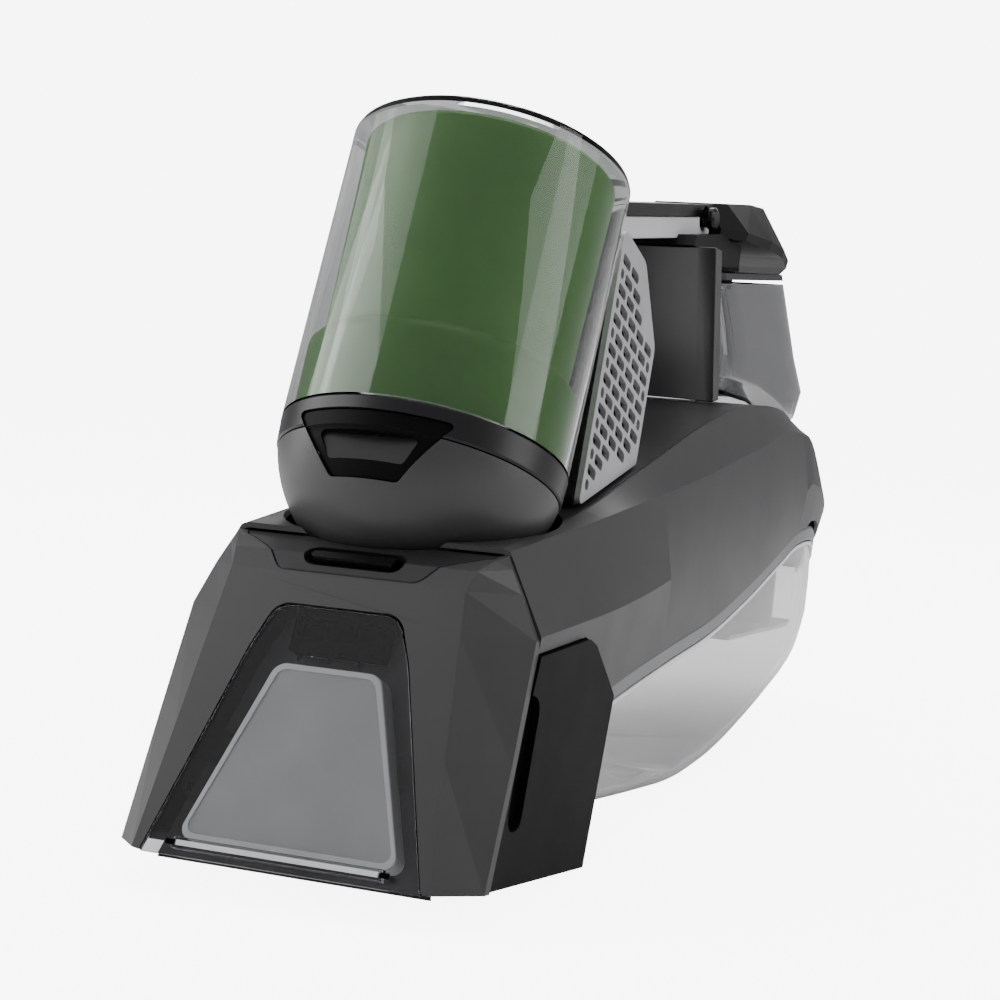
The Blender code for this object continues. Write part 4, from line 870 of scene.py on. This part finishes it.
def make_grilles():
    for side, name in ((1, "right"), (-1, "left")):
        low, high = (GAP, 2.0) if side > 0 else (-2.0, -GAP)
        outline = rounded(neck_outline(0.4), 5)
        face = plate("w", [outline] + brick_slots(), low, high, None, side_frame_at(side))
        piece(face, "grille_face_" + name, "machine", "silver", "silver", "exhaust_grille_" + name,
              bevel=0.35, segments=3)
    baffle = plate("w", [rounded(neck_outline(5), 3)], -0.6, 0.6, None, NECK_PLANE)
    cut(baffle, rod("c", 45.4, 130, (0, 0, 45), None, "Z", POD, 64))
    piece(baffle, "neck_inner_baffle", "machine", "deck_grey", "black_plastic")
    clear_workshop()


NECK_PLANE = frame_at((0, 0, POD_RING_Z), (0, cos(LEAN), -sin(LEAN)), (0, sin(LEAN), cos(LEAN)))
PORT_PLANE = frame_at((0, 0, 0), (1, 0, 0), (0, 0, 1))
NECK_FRONT, NECK_REAR = 33.0, 77.0
NECK_SIDE = 32.4
NECK_TOE = radians(2.5)
DECK_SLOPE = 0.2967
HANDLE_RISE = 0.158
HANDLE_START_Y, HANDLE_END_Y = 61.0, 203.7
SLIDE_RISE = tan(radians(7.5))
make_pod()
make_body()
make_dirty_tank()
make_clean_tank()
make_window()
make_handle()
make_grilles()
make_recesses()


# ---------------------------------------------------------------- camera, floor and light

def machine_dir(x, y, z):
    return (MACHINE.to_3x3() @ Vector((x, y, z))).normalized()


camera_data = bpy.data.cameras.new("camera")
camera_data.lens = 86.4
camera_data.sensor_width = 36
camera_data.clip_end = 20
camera = bpy.data.objects.new("camera", camera_data)
bpy.context.scene.collection.objects.link(camera)
turn = Matrix((machine_dir(0.924555, 0.367199, 0.101799), machine_dir(-0.089398, -0.050673, 0.994706),
               machine_dir(0.370413, -0.928761, -0.014023))).transposed()
camera.matrix_world = Matrix.Translation(MACHINE @ P(262.38, -599.16, 88.25)) @ turn.to_4x4()
bpy.context.scene.camera = camera

FLOOR_GLOW = 7.0
BEND_AT, BEND_RADIUS = 1.6, 1.2
SWEEP = [(-4, 0), (BEND_AT, 0)]
for degrees in range(6, 91, 6):
    SWEEP.append((BEND_AT + BEND_RADIUS * sin(radians(degrees)), BEND_RADIUS * (1 - cos(radians(degrees)))))
SWEEP.append((2.8, 4))
bm = bmesh.new()
edges = [[bm.verts.new((x, y, z)) for y, z in SWEEP] for x in (-5, 5)]
for k in range(len(SWEEP) - 1):
    bm.faces.new((edges[0][k], edges[1][k], edges[1][k + 1], edges[0][k + 1]))
floor = bpy.data.objects.new("floor", to_mesh("floor", bm))
floor.data.shade_smooth()
bpy.context.scene.collection.objects.link(floor)
floor_look = bpy.data.materials.new("sc_floor")
floor_look.use_nodes = True
tree = floor_look.node_tree
tree.nodes["Principled BSDF"].inputs["Base Color"].default_value = (0.8, 0.8, 0.8, 1)
tree.nodes["Principled BSDF"].inputs["Roughness"].default_value = 0.8
tree.nodes["Principled BSDF"].inputs["Specular IOR Level"].default_value = 0.1
ray = tree.nodes.new("ShaderNodeLightPath")
lit = tree.nodes.new("ShaderNodeMath")
lit.operation = "MULTIPLY"
lit.inputs[1].default_value = FLOOR_GLOW
tree.links.new(ray.outputs["Is Camera Ray"], lit.inputs[0])
tree.nodes["Principled BSDF"].inputs["Emission Color"].default_value = (1, 1, 1, 1)
tree.links.new(lit.outputs[0], tree.nodes["Principled BSDF"].inputs["Emission Strength"])
floor.data.materials.append(floor_look)

world = bpy.data.worlds.new("studio")
bpy.context.scene.world = world
world.use_nodes = True
tree = world.node_tree
direction = tree.nodes.new("ShaderNodeTexCoord")
split = tree.nodes.new("ShaderNodeSeparateXYZ")
sky = tree.nodes.new("ShaderNodeValToRGB")
for stop, (place_at, shade) in zip([sky.color_ramp.elements[0], sky.color_ramp.elements[1]],
                                   ((0.10, 0.15), (0.62, 0.62))):
    stop.position = place_at
    stop.color = (shade, shade, shade * 1.02, 1)
tree.links.new(direction.outputs["Generated"], split.inputs["Vector"])
tree.links.new(split.outputs["Z"], sky.inputs["Fac"])
tree.links.new(sky.outputs["Color"], tree.nodes["Background"].inputs["Color"])
ray = tree.nodes.new("ShaderNodeLightPath")
seen = tree.nodes.new("ShaderNodeMapRange")
seen.inputs["To Min"].default_value = 1.0
seen.inputs["To Max"].default_value = 12.0
tree.links.new(ray.outputs["Is Camera Ray"], seen.inputs["Value"])
tree.links.new(seen.outputs["Result"], tree.nodes["Background"].inputs["Strength"])


def lamp(name, place_at, aim, size, power, height=None):
    data = bpy.data.lights.new(name, "AREA")
    data.energy = power
    data.size = size
    if height:
        data.shape = "RECTANGLE"
        data.size_y = height
    obj = bpy.data.objects.new(name, data)
    bpy.context.scene.collection.objects.link(obj)
    obj.location = place_at
    obj.rotation_euler = (Vector(aim) - Vector(place_at)).to_track_quat("-Z", "Y").to_euler()


lamp("key", (-0.95, -0.60, 0.60), (0, -0.05, 0.1), 0.9, 11)
lamp("left_strip", (-0.85, -0.15, 0.35), (0, -0.1, 0.13), 0.3, 3, 0.9)
lamp("right_strip", (0.8, 0.10, 0.45), (0, 0.0, 0.12), 0.45, 5, 0.9)
lamp("rear", (-0.25, 0.9, 0.7), (0, 0, 0.12), 0.6, 4)
lamp("top", (0.0, 0.15, 1.1), (0, 0, 0), 0.5, 5)

for group in (PARTS, CUTTERS):
    bpy.data.collections.remove(group)
